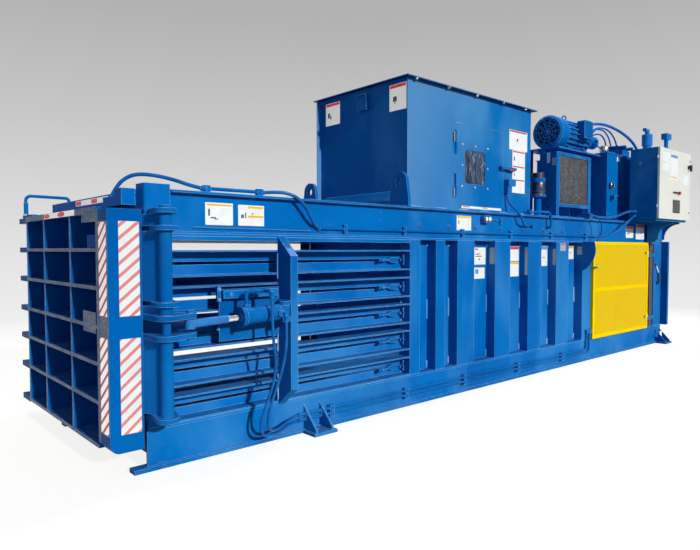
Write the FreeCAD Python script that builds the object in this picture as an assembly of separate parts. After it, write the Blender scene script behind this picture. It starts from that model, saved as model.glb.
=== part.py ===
import FreeCAD, Part
import math
import os

# Recycling baler with a closed discharge door, a charge hopper and a deck-mounted power unit.
# Frame: origin at the centre of the four anchor bolts, on the floor. +X runs towards the rear,
# -Y is the side with the hinge and the controls, +Z is up. All lengths are in millimetres.

Vec = FreeCAD.Vector
X_AXIS = Vec(1, 0, 0)
Y_AXIS = Vec(0, 1, 0)
Z_AXIS = Vec(0, 0, 1)

# ---------------------------------------------------------------- driving dimensions

# Body
anchor_spacing_x = 5700.0
front_x = -3985.0            # front face of the front posts
rear_x = 2907.0              # front face of the rear end plate
half_width = 620.0           # outer edges of slats, ribs and posts
anchor_out = 70.0            # anchor holes beyond the outer edges
anchor_spacing_y = 2 * (half_width + anchor_out)
wall_depth = 112.0           # from the outer edges to the inside of the walls
chamber_half = half_width - wall_depth
wall = 16.0                  # chamber wall plate
floor_z = 235.0              # top of the chamber floor
roof_z = 1255.0              # underside of the chamber roof
roof_plate = 24.0
seat_gap = 0.3               # between neighbours on different bodies

# Base
floor_plate = 16.0
rail_web = 14.0
rail_web_recess = 8.0
rail_flange = 80.0
skid_thickness = 25.0
skid_out = 12.0
skid_in = 60.0
skid_nose = 79.0
member_height = 120.0
member_width = 70.0
member_wall = 10.0
member_count = 7
foot_length = 190.0
foot_reach = 130.0
foot_plate = 20.0
foot_gusset = 14.0
foot_gusset_height = 180.0
foot_lip = 15.0
anchor_hole_r = 14.0

# Front posts and header
post_depth = 145.0           # along X
tube_wall = 12.0
post_corner_r = 18.0
post_top_z = 1560.0
notch_z = (700.0, 900.0)     # pocket that the crank arms swing into
notch_depth = 42.0
notch_liner = 10.0
lock_post_width = 492.0
lock_post_y = chamber_half + lock_post_width

# Slats: pairs of angles with a wire slot between them
slat_count = 5
slat_toe = 7.0               # the lowest slat's edge below the floor's top
slat_height = 152.0
slat_flange = 10.0
slot_height = 18.0
top_gap = 55.0

# Bay post and ribs
bay_post_x = -3130.0
bay_post_thickness = 54.0
bay_post_reach = 140.0
bay_post_root_z = (219.0, 1290.0)
bay_post_tip_z = (336.0, 1164.0)
rib_wall = 10.0
rib_spans = (
    (-1901.0, -1786.0), (-1594.0, -1481.0), (-1318.0, -1091.0), (-782.0, -546.0),
    (-243.0, -11.0), (274.0, 516.0), (815.0, 1040.0),
)

# Top beams and deck
beam_height = 253.0
beam_web = 12.0
beam_flange = 14.0
beam_web_recess = 20.0
beam_top_overhang = 20.0
beam_depth = 104.0
beam_inner_y = half_width - beam_depth
deck_x = -60.0
deck_plate = 12.0

# Rear
rear_bay = 224.0             # from the rear post's face to the end plate
rear_post_x = rear_x - rear_bay
wear_strip_width = 93.0
wear_strip_thickness = 12.0
wear_strip_recess = 14.0
wear_block = (70.0, 30.0, 90.0)
wear_block_shares = (0.1, 0.5, 0.9)
end_plate = 40.0
end_plate_wing = 87.0
end_plate_half = half_width + end_plate_wing
end_plate_wing_z = (232.0, 1304.0)
end_plate_foot_z = 100.0

# Charge hopper
hopper_x = (-1844.0, -89.0)
hopper_inset = 86.0
hopper_half = half_width - hopper_inset
hopper_top_z = 2546.0
hopper_sheet = 6.0
lip_overhang = 45.0
lip_thickness = 8.0
throat_wall = 8.0
fender_run = 124.0
fender_rise = 138.0
fender_sheet = 8.0
lug_x = -1942.0
lug_inset = 68.0
lug_y = half_width - lug_inset
lug_thickness = 30.0
lug_r = 80.0
lug_hole_r = 32.0
lug_base = 200.0
lug_hole_z = 1720.0
eye_box_y = (-107.0, 3.0)
eye_box_z = (2358.0, 2482.0)
eye_box_depth = 38.0
eye_hood = 22.0
switch_x = (-538.0, -427.0)
switch_z = (1788.0, 1852.0)
switch_depth = 60.0
switch_plug_x = (-536.0, -488.0)
switch_plug_z = 1728.0
switch_plug_depth = 48.0
lamp_x = (-990.0, -880.0)
lamp_z = (1436.0, 1500.0)
lamp_depth = 50.0
lamp_corner_r = 26.0

# Hopper man door
man_door_x = (-1250.0, -548.0)
man_door_z = (1581.0, 2277.0)
man_door_gap = 3.0
man_door_corner_r = 40.0
window_x = (-1119.0, -822.0)
window_z = (1772.0, 2063.0)
window_corner_r = 40.0
window_lap = 30.0
window_film = 3.0
hinge_barrel_r = 11.0
hinge_pin_r = 6.0
pin_clearance = 0.05
man_hinge_z = ((1650.0, 1845.0), (2014.0, 2210.0))
hinge_leaf = 4.0
hinge_leaf_width = 34.0
latch_pivot_x = -600.0
latch_pivot_z = 1950.0
latch_boss_r = 22.0
latch_stem_r = 8.0
latch_lever = 215.0
latch_lever_height = 24.0
latch_lever_thickness = 12.0
latch_standoff = 30.0

# Discharge door
door_front_x = -4186.0
door_back_x = -4005.0
door_plate = 20.0
door_lip = 4.0
column_width = 168.0
door_far_inset = 76.0
door_near_y = -half_width - door_lip
column_inner_y = door_near_y + column_width
door_far_y = lock_post_y - door_far_inset
door_z = (132.0, 1416.0)
door_bar = 20.0
door_bar_z = (380.0, 589.0, 788.0, 997.0, 1201.0)
door_rib_y = (-24.0, 504.0)
column_corner_r = 52.0
column_wall = 12.0
lug_bar = 36.0
lug_bar_depth = 50.0
lug_reach = 186.0
lug_arm = 35.0
catch_x = (-3930.0, -3900.0)
catch_reach = 40.0

# Door hinge
hinge_x = -3943.0
hinge_out = 160.0
hinge_y = -half_width - hinge_out
hinge_pin_radius = 22.0
barrel_r = 33.0
bracket_r = 62.0
bracket_thickness = 25.0
bracket_z = (300.0, 905.0, 1302.0, 1392.0)   # undersides of the fixed bracket plates
running_gap = 0.5
leaf_thickness = 20.0
arm_thickness = 28.0
arm_z = (728.0, 833.0)       # undersides of the crank arms
arm_end_r = 36.0
bearing_cap_r = 30.0
bearing_cap = 16.0

# Door cylinder
crank_x = -3796.0
crank_in = 30.0
crank_y = hinge_y + crank_in
crank_z = 800.0
anchor_x = -3190.0
anchor_in = 10.0
anchor_y = hinge_y + anchor_in
anchor_z = 830.0
crank_pin_r = 16.0
crank_cap_flange = 4.0
crank_cap = 14.0
rod_eye_r = 29.0
rod_eye_height = 50.0
sleeve_r = 25.0
sleeve_length = 195.0
door_rod_r = 20.0
chrome_showing = 84.0
head_r = 60.0
head_length = 24.0
piston_height = 18.0
tube_r = 50.0
tube_bore_r = 40.0
rear_neck = 44.0
cap_length = 8.0
rear_eye_r = 36.0
rear_eye_height = 76.0
rear_pin_r = 18.0
ear_thickness = 24.0
ear_reach = 105.0
ear_width = 150.0
backing_x = -3552.0
backing_z = (665.0, 971.0)
backing_thickness = 12.0
port_r = 11.0
port_block = 34.0

# Lock bar
bar_x = (-3975.0, -3940.0)
bar_y = (lock_post_y + 9.7, lock_post_y + 30.0)
tooth_reach = 30.0
tooth_height = 60.0
lock_travel = 100.0
bar_bottom_z = 180.0
bar_top_z = 1480.0
guide_wall = 10.0
guide_strap = 30.0
lock_rod_r = 9.0
lock_cylinder_r = 24.0
lock_cylinder_x = -3870.0
lock_cylinder_y = lock_post_y + 25.0
lock_cylinder_z = (480.0, 760.0)
lock_rod_inside = 140.0
lock_rod_bottom = lock_cylinder_z[1] - lock_rod_inside
lock_plate_z = 905.0

# Ram and main cylinder
ram_face_x = -80.0
platen = 60.0
ram_length = 1880.0
ram_plate = 16.0
ram_side_gap = 8.0
ram_shoe_gap = 0.3
ram_top_gap = 8.0
ram_stroke = 2200.0
cylinder_z = 745.0
main_tube_r = 110.0
main_bore_r = 90.0
main_rod_r = 60.0
main_tube_x = 90.0
main_gland = 60.0
main_flange_r = 165.0
main_flange = 36.0
piston_length = 60.0
shear_bar = 30.0
shear_gap = 3.0

# Side guard
guard_clear_x = 240.0        # from the guard's rear edge to the rear post
guard_stand = 30.0
guard_x = (1004.0, rear_post_x - guard_clear_x)
guard_z = (228.0, 1290.0)
guard_face_y = -half_width - guard_stand
guard_angle = 40.0
guard_bar = 4.0
guard_mesh = 2.0
guard_mid_z = 763.0
guard_hinge_out = 11.5
guard_hinge_x = guard_x[1] + guard_hinge_out
guard_hinge_z = (362.0, 1150.0)
guard_hinge_height = 80.0
guard_latch = (1024.0, 1010.0)
guard_latch_r = 9.0
guard_latch_grip = 60.0

# Power unit
tank_x = (1620.0, 2700.0)
tank_y = (-492.0, 420.0)
tank_top_z = 2331.0
tank_sheet = 6.0
tank_lid = 8.0
tank_lid_overhang = 12.0
cooler_x = (523.0, 1270.0)
cooler_y = (-470.0, -303.0)
cooler_z = (1662.0, 2235.0)
cooler_rim = 62.0
cooler_core_depth = 70.0
cooler_core_inset = 12.0
cooler_leg = 50.0
motor_y = -252.0
motor_z = 2486.0
motor_x = (695.0, 1400.0)
motor_r = 180.0
fan_cover_length = 150.0
fan_cover_sheet = 5.0
fan_r = 145.0
fan_hub_r = 35.0
fan_slots = ((0.28, 20.0), (0.47, 38.0), (0.66, 56.0))   # share of the radius, slot length
fan_slot_width = 24.0
fan_slot_count = 10
fan_blade = 6.0
fan_blades = 6
shaft_r = 22.0
motor_fin_count = 20
motor_fin_height = 14.0
motor_core_r = 152.0
motor_foot_height = 186.0
motor_foot_half = 140.0
eye_ring = (24.0, 7.0)       # radius of the lifting eye and of its bar
eye_lift = 20.0
eye_stem_r = 12.0
stand_x = (600.0, 1540.0)
stand_y = (-450.0, -50.0)
stand_plate = 16.0
stand_leg = 60.0
junction_x = (1085.0, 1285.0)
junction_y = (-480.0, -392.0)
junction_z = (2440.0, 2640.0)
pump_flange_r = 110.0
pump_flange = 24.0
pump_bell = 130.0
pump_bell_r = 92.0
pump_body_r = 74.0
pump_length = 190.0
manifold_x = (2030.0, 2330.0)
manifold_y = (-440.0, -270.0)
manifold_height = 85.0
manifold_end = 50.0
solenoid_half = 24.0
solenoid_inset = 20.0
solenoid_height = 50.0
coil_r = 22.0
coil_length = 80.0
filter_r = 78.0
filter_x = 356.0
filter_y = (-350.0, -170.0)
filter_z = (1775.0, 1945.0)
filter_head = 55.0
filter_bridge = 20.0
filter_flange = (86.0, 26.0)  # radius and thickness of the ring under each can
gauge_x = 1700.0
gauge_z = 1960.0
gauge_r = 36.0
gauge_depth = 26.0
valve_x = 1725.0
valve_z = 1815.0
valve_r = 18.0
valve_reach = 60.0
valve_skin = 4.0
valve_ball = (6.0, 44.0)     # from the valve's end, along the bore
lever_length = 110.0
lever_thickness = 8.0

# Control enclosure
box_x = (1895.0, 2840.0)
box_out = (330.0, 22.0)
box_y = (-half_width - box_out[0], -half_width - box_out[1])
box_z = (1563.0, 2376.0)
box_sheet = 4.0
box_door_depth = 22.0
box_door_sheet = 3.0
box_hinge_offset = 5.0
box_hinge_r = 4.0
box_hinge_length = 60.0
box_hinge_z = (1660.0, 2220.0)
handle_x = 2770.0
handle_z = 2215.0
handle_plate = 60.0
handle_length = 105.0
handle_lip = 4.0
handle_hub = 20.0
handle_grip = (22.0, 24.0)   # width and depth
handle_round = 9.0
button_z = 1880.0
button_x = (2300.0, 2350.0, 2400.0)
button_r = 11.0
button_travel = 4.0
button_height = 12.0
bezel_r = 15.0
bezel_height = 5.0
stop_x = 2460.0
stop_r = 20.0
panel_x = (2300.0, 2500.0)
panel_z = (1645.0, 1790.0)
panel_depth = 6.0
lock_z = (1660.0, 2290.0)
lock_x = 2815.0
lock_r = 9.0
lock_head = (5.0, 6.0)       # how far the head stands out, across and along
lock_inside = 6.0
bracket_post_x = (2420.0, 2620.0)
bracket_out = (120.0, 20.0)
bracket_post_y = (-half_width - bracket_out[0], -half_width - bracket_out[1])
bracket_bottom_z = 1300.0
bracket_frame = 23.0
bracket_gusset = 12.0
gusset_curve_r = 170.0
gusset_neck = 26.0
horn_x = (2060.0, 2628.0)
horn_in = 190.0
horn_y = box_y[0] + horn_in
horn_base = (45.0, 50.0)     # radius and height
horn_bell = (58.0, 130.0)
horn_neck = (26.0, 60.0)
horn_stub = (22.0, 80.0)     # radius and reach
head_stem = (24.0, 190.0)
head_collar = (50.0, 60.0)
head_half = (70.0, 35.0, 35.0)

# Pipes and conduits
pipe_r = 11.0
pipe_out = 13.0
pipe_y = -half_width - pipe_out
pipe_z = (90.0, 126.0)
pipe_x = (-2966.0, 900.0)
pipe_rise_x = (905.0, 965.0)
pipe_bend = 40.0
pipe_top_z = 330.0
clamp_x = (-2705.0, -1960.0, -1238.0, -430.0, 379.0)
clamp_width = 40.0
clamp_skin = 10.0
conduit_r = 10.0
conduit_standoff = 3.0
conduit_z = 1345.0
conduit_x = (-2786.0, 1102.0)
conduit_clamp_x = (-2560.0, -1960.0, -1250.0, -540.0, 170.0, 880.0)
hose_bracket_x = (805.0, 815.0)
hose_bracket_reach = 160.0
hose_bracket_z = (975.0, 1290.0)
hose_bracket_bulge = (0.12, 20.0)   # share of the reach kept back, lift above the middle
hose_bracket_corner = 30.0

# Sensor line over the door's top corner
sensor_line_r = 11.0
sensor_line_y = (lock_post_y + 40.0, lock_post_y - 120.0)
sensor_line = (
    (-4158.0, sensor_line_y[0], 1446.0), (-4158.0, sensor_line_y[0], 1590.0),
    (-3912.0, sensor_line_y[1], 1574.0), (-3912.0, sensor_line_y[1], 1532.0),
)
sensor_bends = (34.0, 26.0)
sensor_x = (-4176.0, -4140.0)
sensor_y = (lock_post_y - 200.0, lock_post_y + 56.0)
sensor_z = (1428.0, 1446.0)

# Filter line over the edge of the deck
filter_line_r = 11.0
filter_line_y = (-half_width + 30.0, -half_width - 32.0, -half_width + beam_web_recess)
filter_line = (
    (-200.0, filter_line_y[0], 1560.0), (-60.0, filter_line_y[1], 1566.0),
    (103.0, filter_line_y[1], 1566.0), (103.0, filter_line_y[1], 1420.0),
    (103.0, filter_line_y[2], 1420.0),
)
filter_bends = (60.0, 60.0, 24.0)

def outboard(*corners):
    """Corners of a route, with y measured outwards from the body's outer edge."""
    return tuple((x, -half_width - out, z) for x, out, z in corners)


# Free hoses: diameter, then the corners of the route
door_hose_front_route = outboard(
    (-3328, 225, 925), (-3330, 230, 800), (-3318, 226, 660), (-3290, 212, 530),
    (-3300, 195, 400), (-3345, 175, 270), (-3368, 150, 150), (-3310, 115, 72),
    (-3175, 70, 62), (-3065, 30, 88), (-2975, 13, 90),
)
door_hose_rear_route = outboard(
    (-3230, 230, 780), (-3228, 232, 660), (-3246, 230, 540), (-3285, 225, 420),
    (-3330, 210, 290), (-3335, 180, 175), (-3280, 135, 105), (-3165, 80, 98),
    (-3065, 35, 118), (-2975, 13, 126),
)
header_hose_route = outboard(
    (-4035, -330, 1508), (-4012, -310, 1566), (-3972, -277, 1612), (-3925, -238, 1632),
    (-3850, -180, 1626), (-3760, -120, 1602), (-3690, -72, 1572), (-3636, -36, 1556),
)
beam_hose_route = outboard(
    (-3215, -20, 1556), (-3150, -14, 1562), (-3070, 14, 1562), (-2995, 40, 1532),
    (-2935, 48, 1470), (-2885, 35, 1405), (-2842, 10, 1366), (-2795, -7, 1346),
)
suction_hose_route = (
    (1640, -252, 2696), (1780, -260, 2722), (1940, -285, 2736), (2110, -325, 2712),
    (2270, -365, 2666), (2420, -400, 2600), (2530, -425, 2520), (2586, -436, 2444),
    (2606, -440, 2376),
)
pressure_hose_route = (
    (1690, -262, 2606), (1721, -271, 2641), (1770, -284, 2665), (1850, -304, 2677),
    (1945, -326, 2669), (2030, -342, 2631), (2097, -352, 2573), (2140, -358, 2510),
    (2158, -360, 2462),
)
deck_hose_route = outboard(
    (900, 48, 1570), (962, 70, 1560), (1012, 92, 1522), (1036, 104, 1460),
    (1034, 102, 1392), (1012, 86, 1334), (984, 74, 1292),
)
upper_cable_route = outboard(
    (965, 14, 1574), (1070, 20, 1562), (1200, 30, 1557), (1350, 44, 1563),
    (1505, 60, 1585), (1640, 74, 1624), (1758, 84, 1647), (1860, 86, 1650),
)
lower_cable_route = outboard(
    (1110, -7, 1345), (1220, 2, 1352), (1340, 20, 1372), (1480, 40, 1402),
    (1610, 60, 1450), (1710, 75, 1510), (1790, 85, 1565), (1862, 86, 1590),
)
switch_cable_route = outboard(
    (-512, -64, 1728), (-512, -64, 1690), (-510, -54, 1650), (-500, -28, 1606),
    (-482, 20, 1562), (-452, 46, 1515), (-415, 44, 1465), (-360, 24, 1432),
    (-280, 4, 1426), (-205, -7, 1436),
)
hoses = {
    "door_hose_front": (18.0, door_hose_front_route),
    "door_hose_rear": (18.0, door_hose_rear_route),
    "header_hose": (22.0, header_hose_route),
    "beam_hose": (22.0, beam_hose_route),
    "suction_hose": (34.0, suction_hose_route),
    "pressure_hose": (20.0, pressure_hose_route),
    "deck_hose": (18.0, deck_hose_route),
    "upper_cable": (24.0, upper_cable_route),
    "lower_cable": (20.0, lower_cable_route),
    "switch_cable": (18.0, switch_cable_route),
}
hose_fraction = 0.45         # share of the shorter run that each arc takes
fitting_wall = 4.0
fitting_length = 36.0
fitting_short = 26.0
sleeve_short = 12.0

# Valves in front of the header
valve_block_x = (-4062.0, -3985.0)
valve_in = (121.0, 223.0, 395.0)
valve_block_y = (-half_width + valve_in[0], -half_width + valve_in[1])
valve_block_z = (1446.0, 1537.0)
valve_step_y = (-half_width + valve_in[1], -half_width + valve_in[2])
valve_step_z = (1446.0, 1500.0)

# Wire guides at the ends of the slots
guide_block = (70.0, 40.0, 34.0)
guide_nose = 45.0
guide_rod_r = 6.0
guide_rod = 60.0
guide_nut_r = 12.0
guide_nut = 14.0
guide_end_gap = 12.0

# ---------------------------------------------------------------- derived places

beam_z = roof_z + roof_plate
beam_top = beam_z + beam_height
deck_top = beam_top + deck_plate
slat_x = (front_x + post_depth, rib_spans[0][0])
web_outer = half_width - rail_web_recess
web_inner = web_outer - rail_web
wall_outer = chamber_half + wall
slat_web_y = (-wall_outer, -chamber_half)
slat_pitch = (roof_z - top_gap - slat_height - floor_z + slat_toe) / (slat_count - 1)
slat_tops = [roof_z - top_gap - slat_pitch * i for i in range(slat_count)]
slot_centres = [top - slat_height / 2 for top in slat_tops]
door_levels = [door_z[0] + door_bar / 2] + list(door_bar_z) + [door_z[1] - door_bar / 2]
stand_top = motor_z - motor_foot_height
lid_top = tank_top_z + tank_lid


# ---------------------------------------------------------------- helpers

def box(x0, x1, y0, y1, z0, z1):
    return Part.makeBox(x1 - x0, y1 - y0, z1 - z0, Vec(x0, y0, z0))


def rod(radius, start, end):
    """A round bar between two points."""
    axis = Vec(*end) - Vec(*start)
    return Part.makeCylinder(radius, axis.Length, Vec(*start), axis)


def disc(radius, centre, axis, length):
    """A round bar of a given length from a centre along an axis."""
    return Part.makeCylinder(radius, length, Vec(*centre), axis)


def prism(plane, points, low, high):
    """A closed outline in the xy, yz or xz plane, drawn out along the third axis."""
    place = {
        "yz": lambda a, b: Vec(low, a, b),
        "xz": lambda a, b: Vec(a, low, b),
        "xy": lambda a, b: Vec(a, b, low),
    }[plane]
    along = {"yz": X_AXIS, "xz": Y_AXIS, "xy": Z_AXIS}[plane]
    corners = [place(a, b) for a, b in points]
    face = Part.Face(Part.makePolygon(corners + [corners[0]]))
    return face.extrude(along * (high - low))


def fuse(*shapes):
    return shapes[0].multiFuse(list(shapes[1:])).removeSplitter()


def cut(shape, *tools):
    for tool in tools:
        shape = shape.cut(tool)
    return shape


def group(shapes):
    return Part.makeCompound(list(shapes))


def far_side(shape):
    """The same piece on the other side of the body."""
    return shape.mirror(Vec(0, 0, 0), Y_AXIS)


def both_sides(shape):
    return [shape, far_side(shape)]


def round_edges(shape, radius, wanted):
    """Fillets the edges whose centre and direction satisfy a test."""
    edges = [edge for edge in shape.Edges if wanted(edge)]
    return shape.makeFillet(radius, edges)


def along_axis(edge, axis):
    if edge.Curve.TypeId != "Part::GeomLine":
        return False
    return abs(abs(edge.tangentAt(edge.FirstParameter).dot(axis)) - 1) < 1e-6


def square_tube(x0, x1, y0, y1, z0, z1, thickness):
    """A tube along Z with open ends."""
    outer = box(x0, x1, y0, y1, z0, z1)
    inner = box(x0 + thickness, x1 - thickness, y0 + thickness, y1 - thickness, z0, z1)
    return outer.cut(inner)


def bent_path(points, radii):
    """Straight runs joined by tangent arcs, one radius for each inner point."""
    points = [Vec(*point) for point in points]
    edges = []
    start = points[0]
    for before, corner, after, radius in zip(points, points[1:], points[2:], radii):
        incoming = (corner - before).normalize()
        outgoing = (after - corner).normalize()
        turn = incoming.getAngle(outgoing)
        back = radius * math.tan(turn / 2)
        arc_start = corner - incoming * back
        arc_end = corner + outgoing * back
        middle = corner + (outgoing - incoming).normalize() * radius * (1 / math.cos(turn / 2) - 1)
        edges.append(Part.LineSegment(start, arc_start).toShape())
        edges.append(Part.Arc(arc_start, middle, arc_end).toShape())
        start = arc_end
    edges.append(Part.LineSegment(start, points[-1]).toShape())
    return Part.Wire(edges)


def bent_tube(points, radii, radius):
    """A round bar drawn along straight runs and arcs."""
    path = bent_path(points, radii)
    first = Vec(*points[1]) - Vec(*points[0])
    profile = Part.Wire(Part.makeCircle(radius, Vec(*points[0]), first))
    return path.makePipeShell([profile], True, True)


def hose_radii(points):
    """The largest arc that each corner's two runs allow."""
    places = [Vec(*point) for point in points]
    radii = []
    for before, corner, after in zip(places, places[1:], places[2:]):
        incoming = corner - before
        outgoing = after - corner
        turn = incoming.getAngle(outgoing)
        radii.append(hose_fraction * min(incoming.Length, outgoing.Length) / math.tan(turn / 2))
    return radii


def rounded_sheet(x, z, y0, y1, radius):
    """A sheet in the side plane with rounded corners."""
    sheet = box(x[0], x[1], y0, y1, z[0], z[1])
    return round_edges(sheet, radius, lambda edge: along_axis(edge, Y_AXIS))


# ---------------------------------------------------------------- base

def base_rails():
    web = box(front_x, rear_x, -web_outer, -web_inner, 0, floor_z)
    top = box(front_x, rear_x, -half_width, -half_width + rail_flange, floor_z - floor_plate, floor_z)
    skid = box(front_x - skid_nose, rear_x, -half_width - skid_out, -half_width + skid_in,
               0, skid_thickness)
    return group(both_sides(fuse(web, top, skid)))


def cross_members():
    step = (rear_x - front_x - member_width) / (member_count - 1)
    top = floor_z - floor_plate
    members = []
    for i in range(member_count):
        x = front_x + step * i
        outer = box(x, x + member_width, -web_inner, web_inner, top - member_height, top)
        inner = box(x + member_wall, x + member_width, -web_inner, web_inner,
                    top - member_height + member_wall, top - member_wall)
        members.append(outer.cut(inner))
    return group(members)


def floor():
    half = half_width - rail_flange
    return box(front_x, rear_x, -half, half, floor_z - floor_plate, floor_z)


def anchor_foot(x):
    skid_edge = -half_width - skid_out
    tip = skid_edge - foot_reach
    plate = box(x - foot_length / 2, x + foot_length / 2, tip, skid_edge, 0, foot_plate)
    hole = disc(anchor_hole_r, (x, -anchor_spacing_y / 2, 0), Z_AXIS, foot_plate)
    outline = [
        (-web_outer, skid_thickness), (skid_edge, skid_thickness), (skid_edge, foot_plate),
        (tip + foot_lip, foot_plate), (tip + foot_lip, foot_plate + foot_lip),
        (-web_outer, foot_gusset_height),
    ]
    gap = pipe_r + clamp_skin / 2
    passage = box(x - foot_length, x + foot_length, pipe_y - gap, -web_outer,
                  pipe_z[0] - gap, pipe_z[1] + gap)
    gussets = []
    for side in (-1, 1):
        centre = x + side * (foot_length / 2 - 2 * foot_gusset)
        gussets.append(prism("yz", outline, centre - foot_gusset / 2, centre + foot_gusset / 2))
    return fuse(plate.cut(hole), *[gusset.cut(passage) for gusset in gussets])


def anchor_feet():
    feet = []
    for x in (-anchor_spacing_x / 2, anchor_spacing_x / 2):
        feet += both_sides(anchor_foot(x))
    return group(feet)


# ---------------------------------------------------------------- front frame

def front_post():
    x0, x1 = front_x, front_x + post_depth
    outer = box(x0, x1, -half_width, -chamber_half, floor_z, post_top_z)

    def front_outer_edge(edge):
        centre = edge.CenterOfMass
        return along_axis(edge, Z_AXIS) and centre.x < x0 + 1 and centre.y < -half_width + 1

    outer = round_edges(outer, post_corner_r, front_outer_edge)
    inner = box(x0 + tube_wall, x1 - tube_wall, -half_width + tube_wall, -chamber_half - tube_wall,
                floor_z, post_top_z)
    notch = box(x0, x1, -half_width, -half_width + notch_depth, *notch_z)
    liner = box(x0, x1, -half_width, -half_width + notch_depth + notch_liner,
                notch_z[0] - notch_liner, notch_z[1] + notch_liner)
    return cut(fuse(outer.cut(inner), liner.common(outer)), notch)


def lock_post():
    return square_tube(front_x, front_x + post_depth, chamber_half, lock_post_y, floor_z, beam_z,
                       tube_wall)


def front_header():
    """A rectangular tube across the top of the door opening."""
    x0, x1 = front_x, front_x + post_depth
    outer = box(x0, x1, -chamber_half, lock_post_y, beam_z, beam_top)
    inner = box(x0 + tube_wall, x1 - tube_wall, -chamber_half, lock_post_y,
                beam_z + tube_wall, beam_top - tube_wall)
    return outer.cut(inner)


# ---------------------------------------------------------------- side walls

def slat(index):
    """Two angles, back to back across the wire slot."""
    top = slat_tops[index]
    bottom = max(top - slat_height, floor_z)
    centre = slot_centres[index]
    outer_y, inner_y = slat_web_y
    angles = []
    for edge, direction in ((top, 1), (bottom, -1)):
        slot_edge = centre + direction * slot_height / 2
        outline = [
            (-half_width, edge), (inner_y, edge), (inner_y, slot_edge), (outer_y, slot_edge),
            (outer_y, edge - direction * slat_flange), (-half_width, edge - direction * slat_flange),
        ]
        angles.append(prism("yz", outline, *slat_x))
    return angles


def side_slats():
    return [angle for i in range(slat_count) for angle in slat(i)]


def bay_post():
    tip = -half_width - bay_post_reach
    outline = [
        (-half_width, bay_post_root_z[0]), (-half_width, bay_post_root_z[1]),
        (tip, bay_post_tip_z[1]), (tip, bay_post_tip_z[0]),
    ]
    return prism("yz", outline, bay_post_x, bay_post_x + bay_post_thickness)


def wall_panel():
    return box(rib_spans[0][0], rib_spans[-1][1], -wall_outer, -chamber_half, floor_z, beam_z)


def rib(span):
    """A formed channel with its open side on the wall panel."""
    x0, x1 = span
    outline = [
        (x0, -wall_outer), (x0, -half_width), (x1, -half_width), (x1, -wall_outer),
        (x1 - rib_wall, -wall_outer), (x1 - rib_wall, -half_width + rib_wall),
        (x0 + rib_wall, -half_width + rib_wall), (x0 + rib_wall, -wall_outer),
    ]
    return prism("xy", outline, floor_z, beam_z)


def wire_guide(z):
    """A block on the slot with a nose, a threaded rod and a lock nut."""
    length, height, depth = guide_block
    end = slat_x[1] - guide_end_gap
    x0 = end - guide_rod - length
    body = box(x0, x0 + length, slat_web_y[0] - depth, slat_web_y[0], z - height / 2, z + height / 2)
    middle_y = slat_web_y[0] - depth / 2
    outline = [(x0, z - height / 2), (x0, z + height / 2), (x0 - guide_nose, z)]
    nose = prism("xz", outline, slat_web_y[0] - depth, slat_web_y[0])
    spindle = rod(guide_rod_r, (x0 + length, middle_y, z), (end, middle_y, z))
    nut = disc(guide_nut_r, (x0 + length + guide_nut, middle_y, z), X_AXIS, guide_nut)
    plate = box(end, slat_x[1], -wall_outer - depth, -wall_outer, z - height, z + height)
    return fuse(body, nose, spindle, nut, plate)


# ---------------------------------------------------------------- top structure

def roof_plates():
    front = fuse(
        box(slat_x[0], slat_x[1], -half_width, half_width, roof_z, beam_z),
        box(front_x, slat_x[0], -chamber_half, chamber_half, roof_z, beam_z),
        box(slat_x[1], hopper_x[0], -chamber_half, chamber_half, roof_z, beam_z),
    )
    rear = box(hopper_x[1], rear_x, -chamber_half, chamber_half, roof_z, beam_z)
    return group([front, rear])


def top_beam():
    web_y = -half_width + beam_web_recess
    outline = [
        (-half_width, beam_z), (-beam_inner_y, beam_z), (-beam_inner_y, beam_z + beam_flange),
        (web_y + beam_web, beam_z + beam_flange), (web_y + beam_web, beam_top - beam_flange),
        (-beam_inner_y, beam_top - beam_flange), (-beam_inner_y, beam_top),
        (-half_width - beam_top_overhang, beam_top),
        (-half_width - beam_top_overhang, beam_top - beam_flange), (web_y, beam_top - beam_flange),
        (web_y, beam_z + beam_flange), (-half_width, beam_z + beam_flange),
    ]
    return prism("yz", outline, slat_x[0], rear_x)


def rear_deck():
    return box(deck_x, rear_x, -half_width, half_width, beam_top, deck_top)


def rear_post():
    outline = [
        (rear_post_x, -wall_outer), (rear_post_x, -half_width), (rear_x, -half_width),
        (rear_x, -half_width + tube_wall), (rear_post_x + tube_wall, -half_width + tube_wall),
        (rear_post_x + tube_wall, -wall_outer),
    ]
    return prism("xy", outline, floor_z, beam_z)


def wear_strip():
    """A strip beside the guard, level with the post's face, on three blocks from the post."""
    face = -half_width + wear_strip_recess
    back = face + wear_strip_thickness
    pieces = [box(rear_post_x - wear_strip_width, rear_post_x, face, back, floor_z, beam_z)]
    for share in wear_block_shares:
        z = floor_z + share * (beam_z - floor_z)
        pieces.append(box(rear_post_x - wear_block[0], rear_post_x, back, back + wear_block[1],
                          z - wear_block[2] / 2, z + wear_block[2] / 2))
    return group(pieces)


def rear_end_plate():
    outline = [
        (-web_outer, end_plate_foot_z), (web_outer, end_plate_foot_z),
        (web_outer, end_plate_wing_z[0]), (end_plate_half, end_plate_wing_z[0]),
        (end_plate_half, end_plate_wing_z[1]), (-end_plate_half, end_plate_wing_z[1]),
        (-end_plate_half, end_plate_wing_z[0]), (-web_outer, end_plate_wing_z[0]),
    ]
    plate = prism("yz", outline, rear_x, rear_x + end_plate)
    return plate.cut(disc(main_tube_r, (rear_x, 0, cylinder_z), X_AXIS, end_plate))


# ---------------------------------------------------------------- hopper

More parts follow.
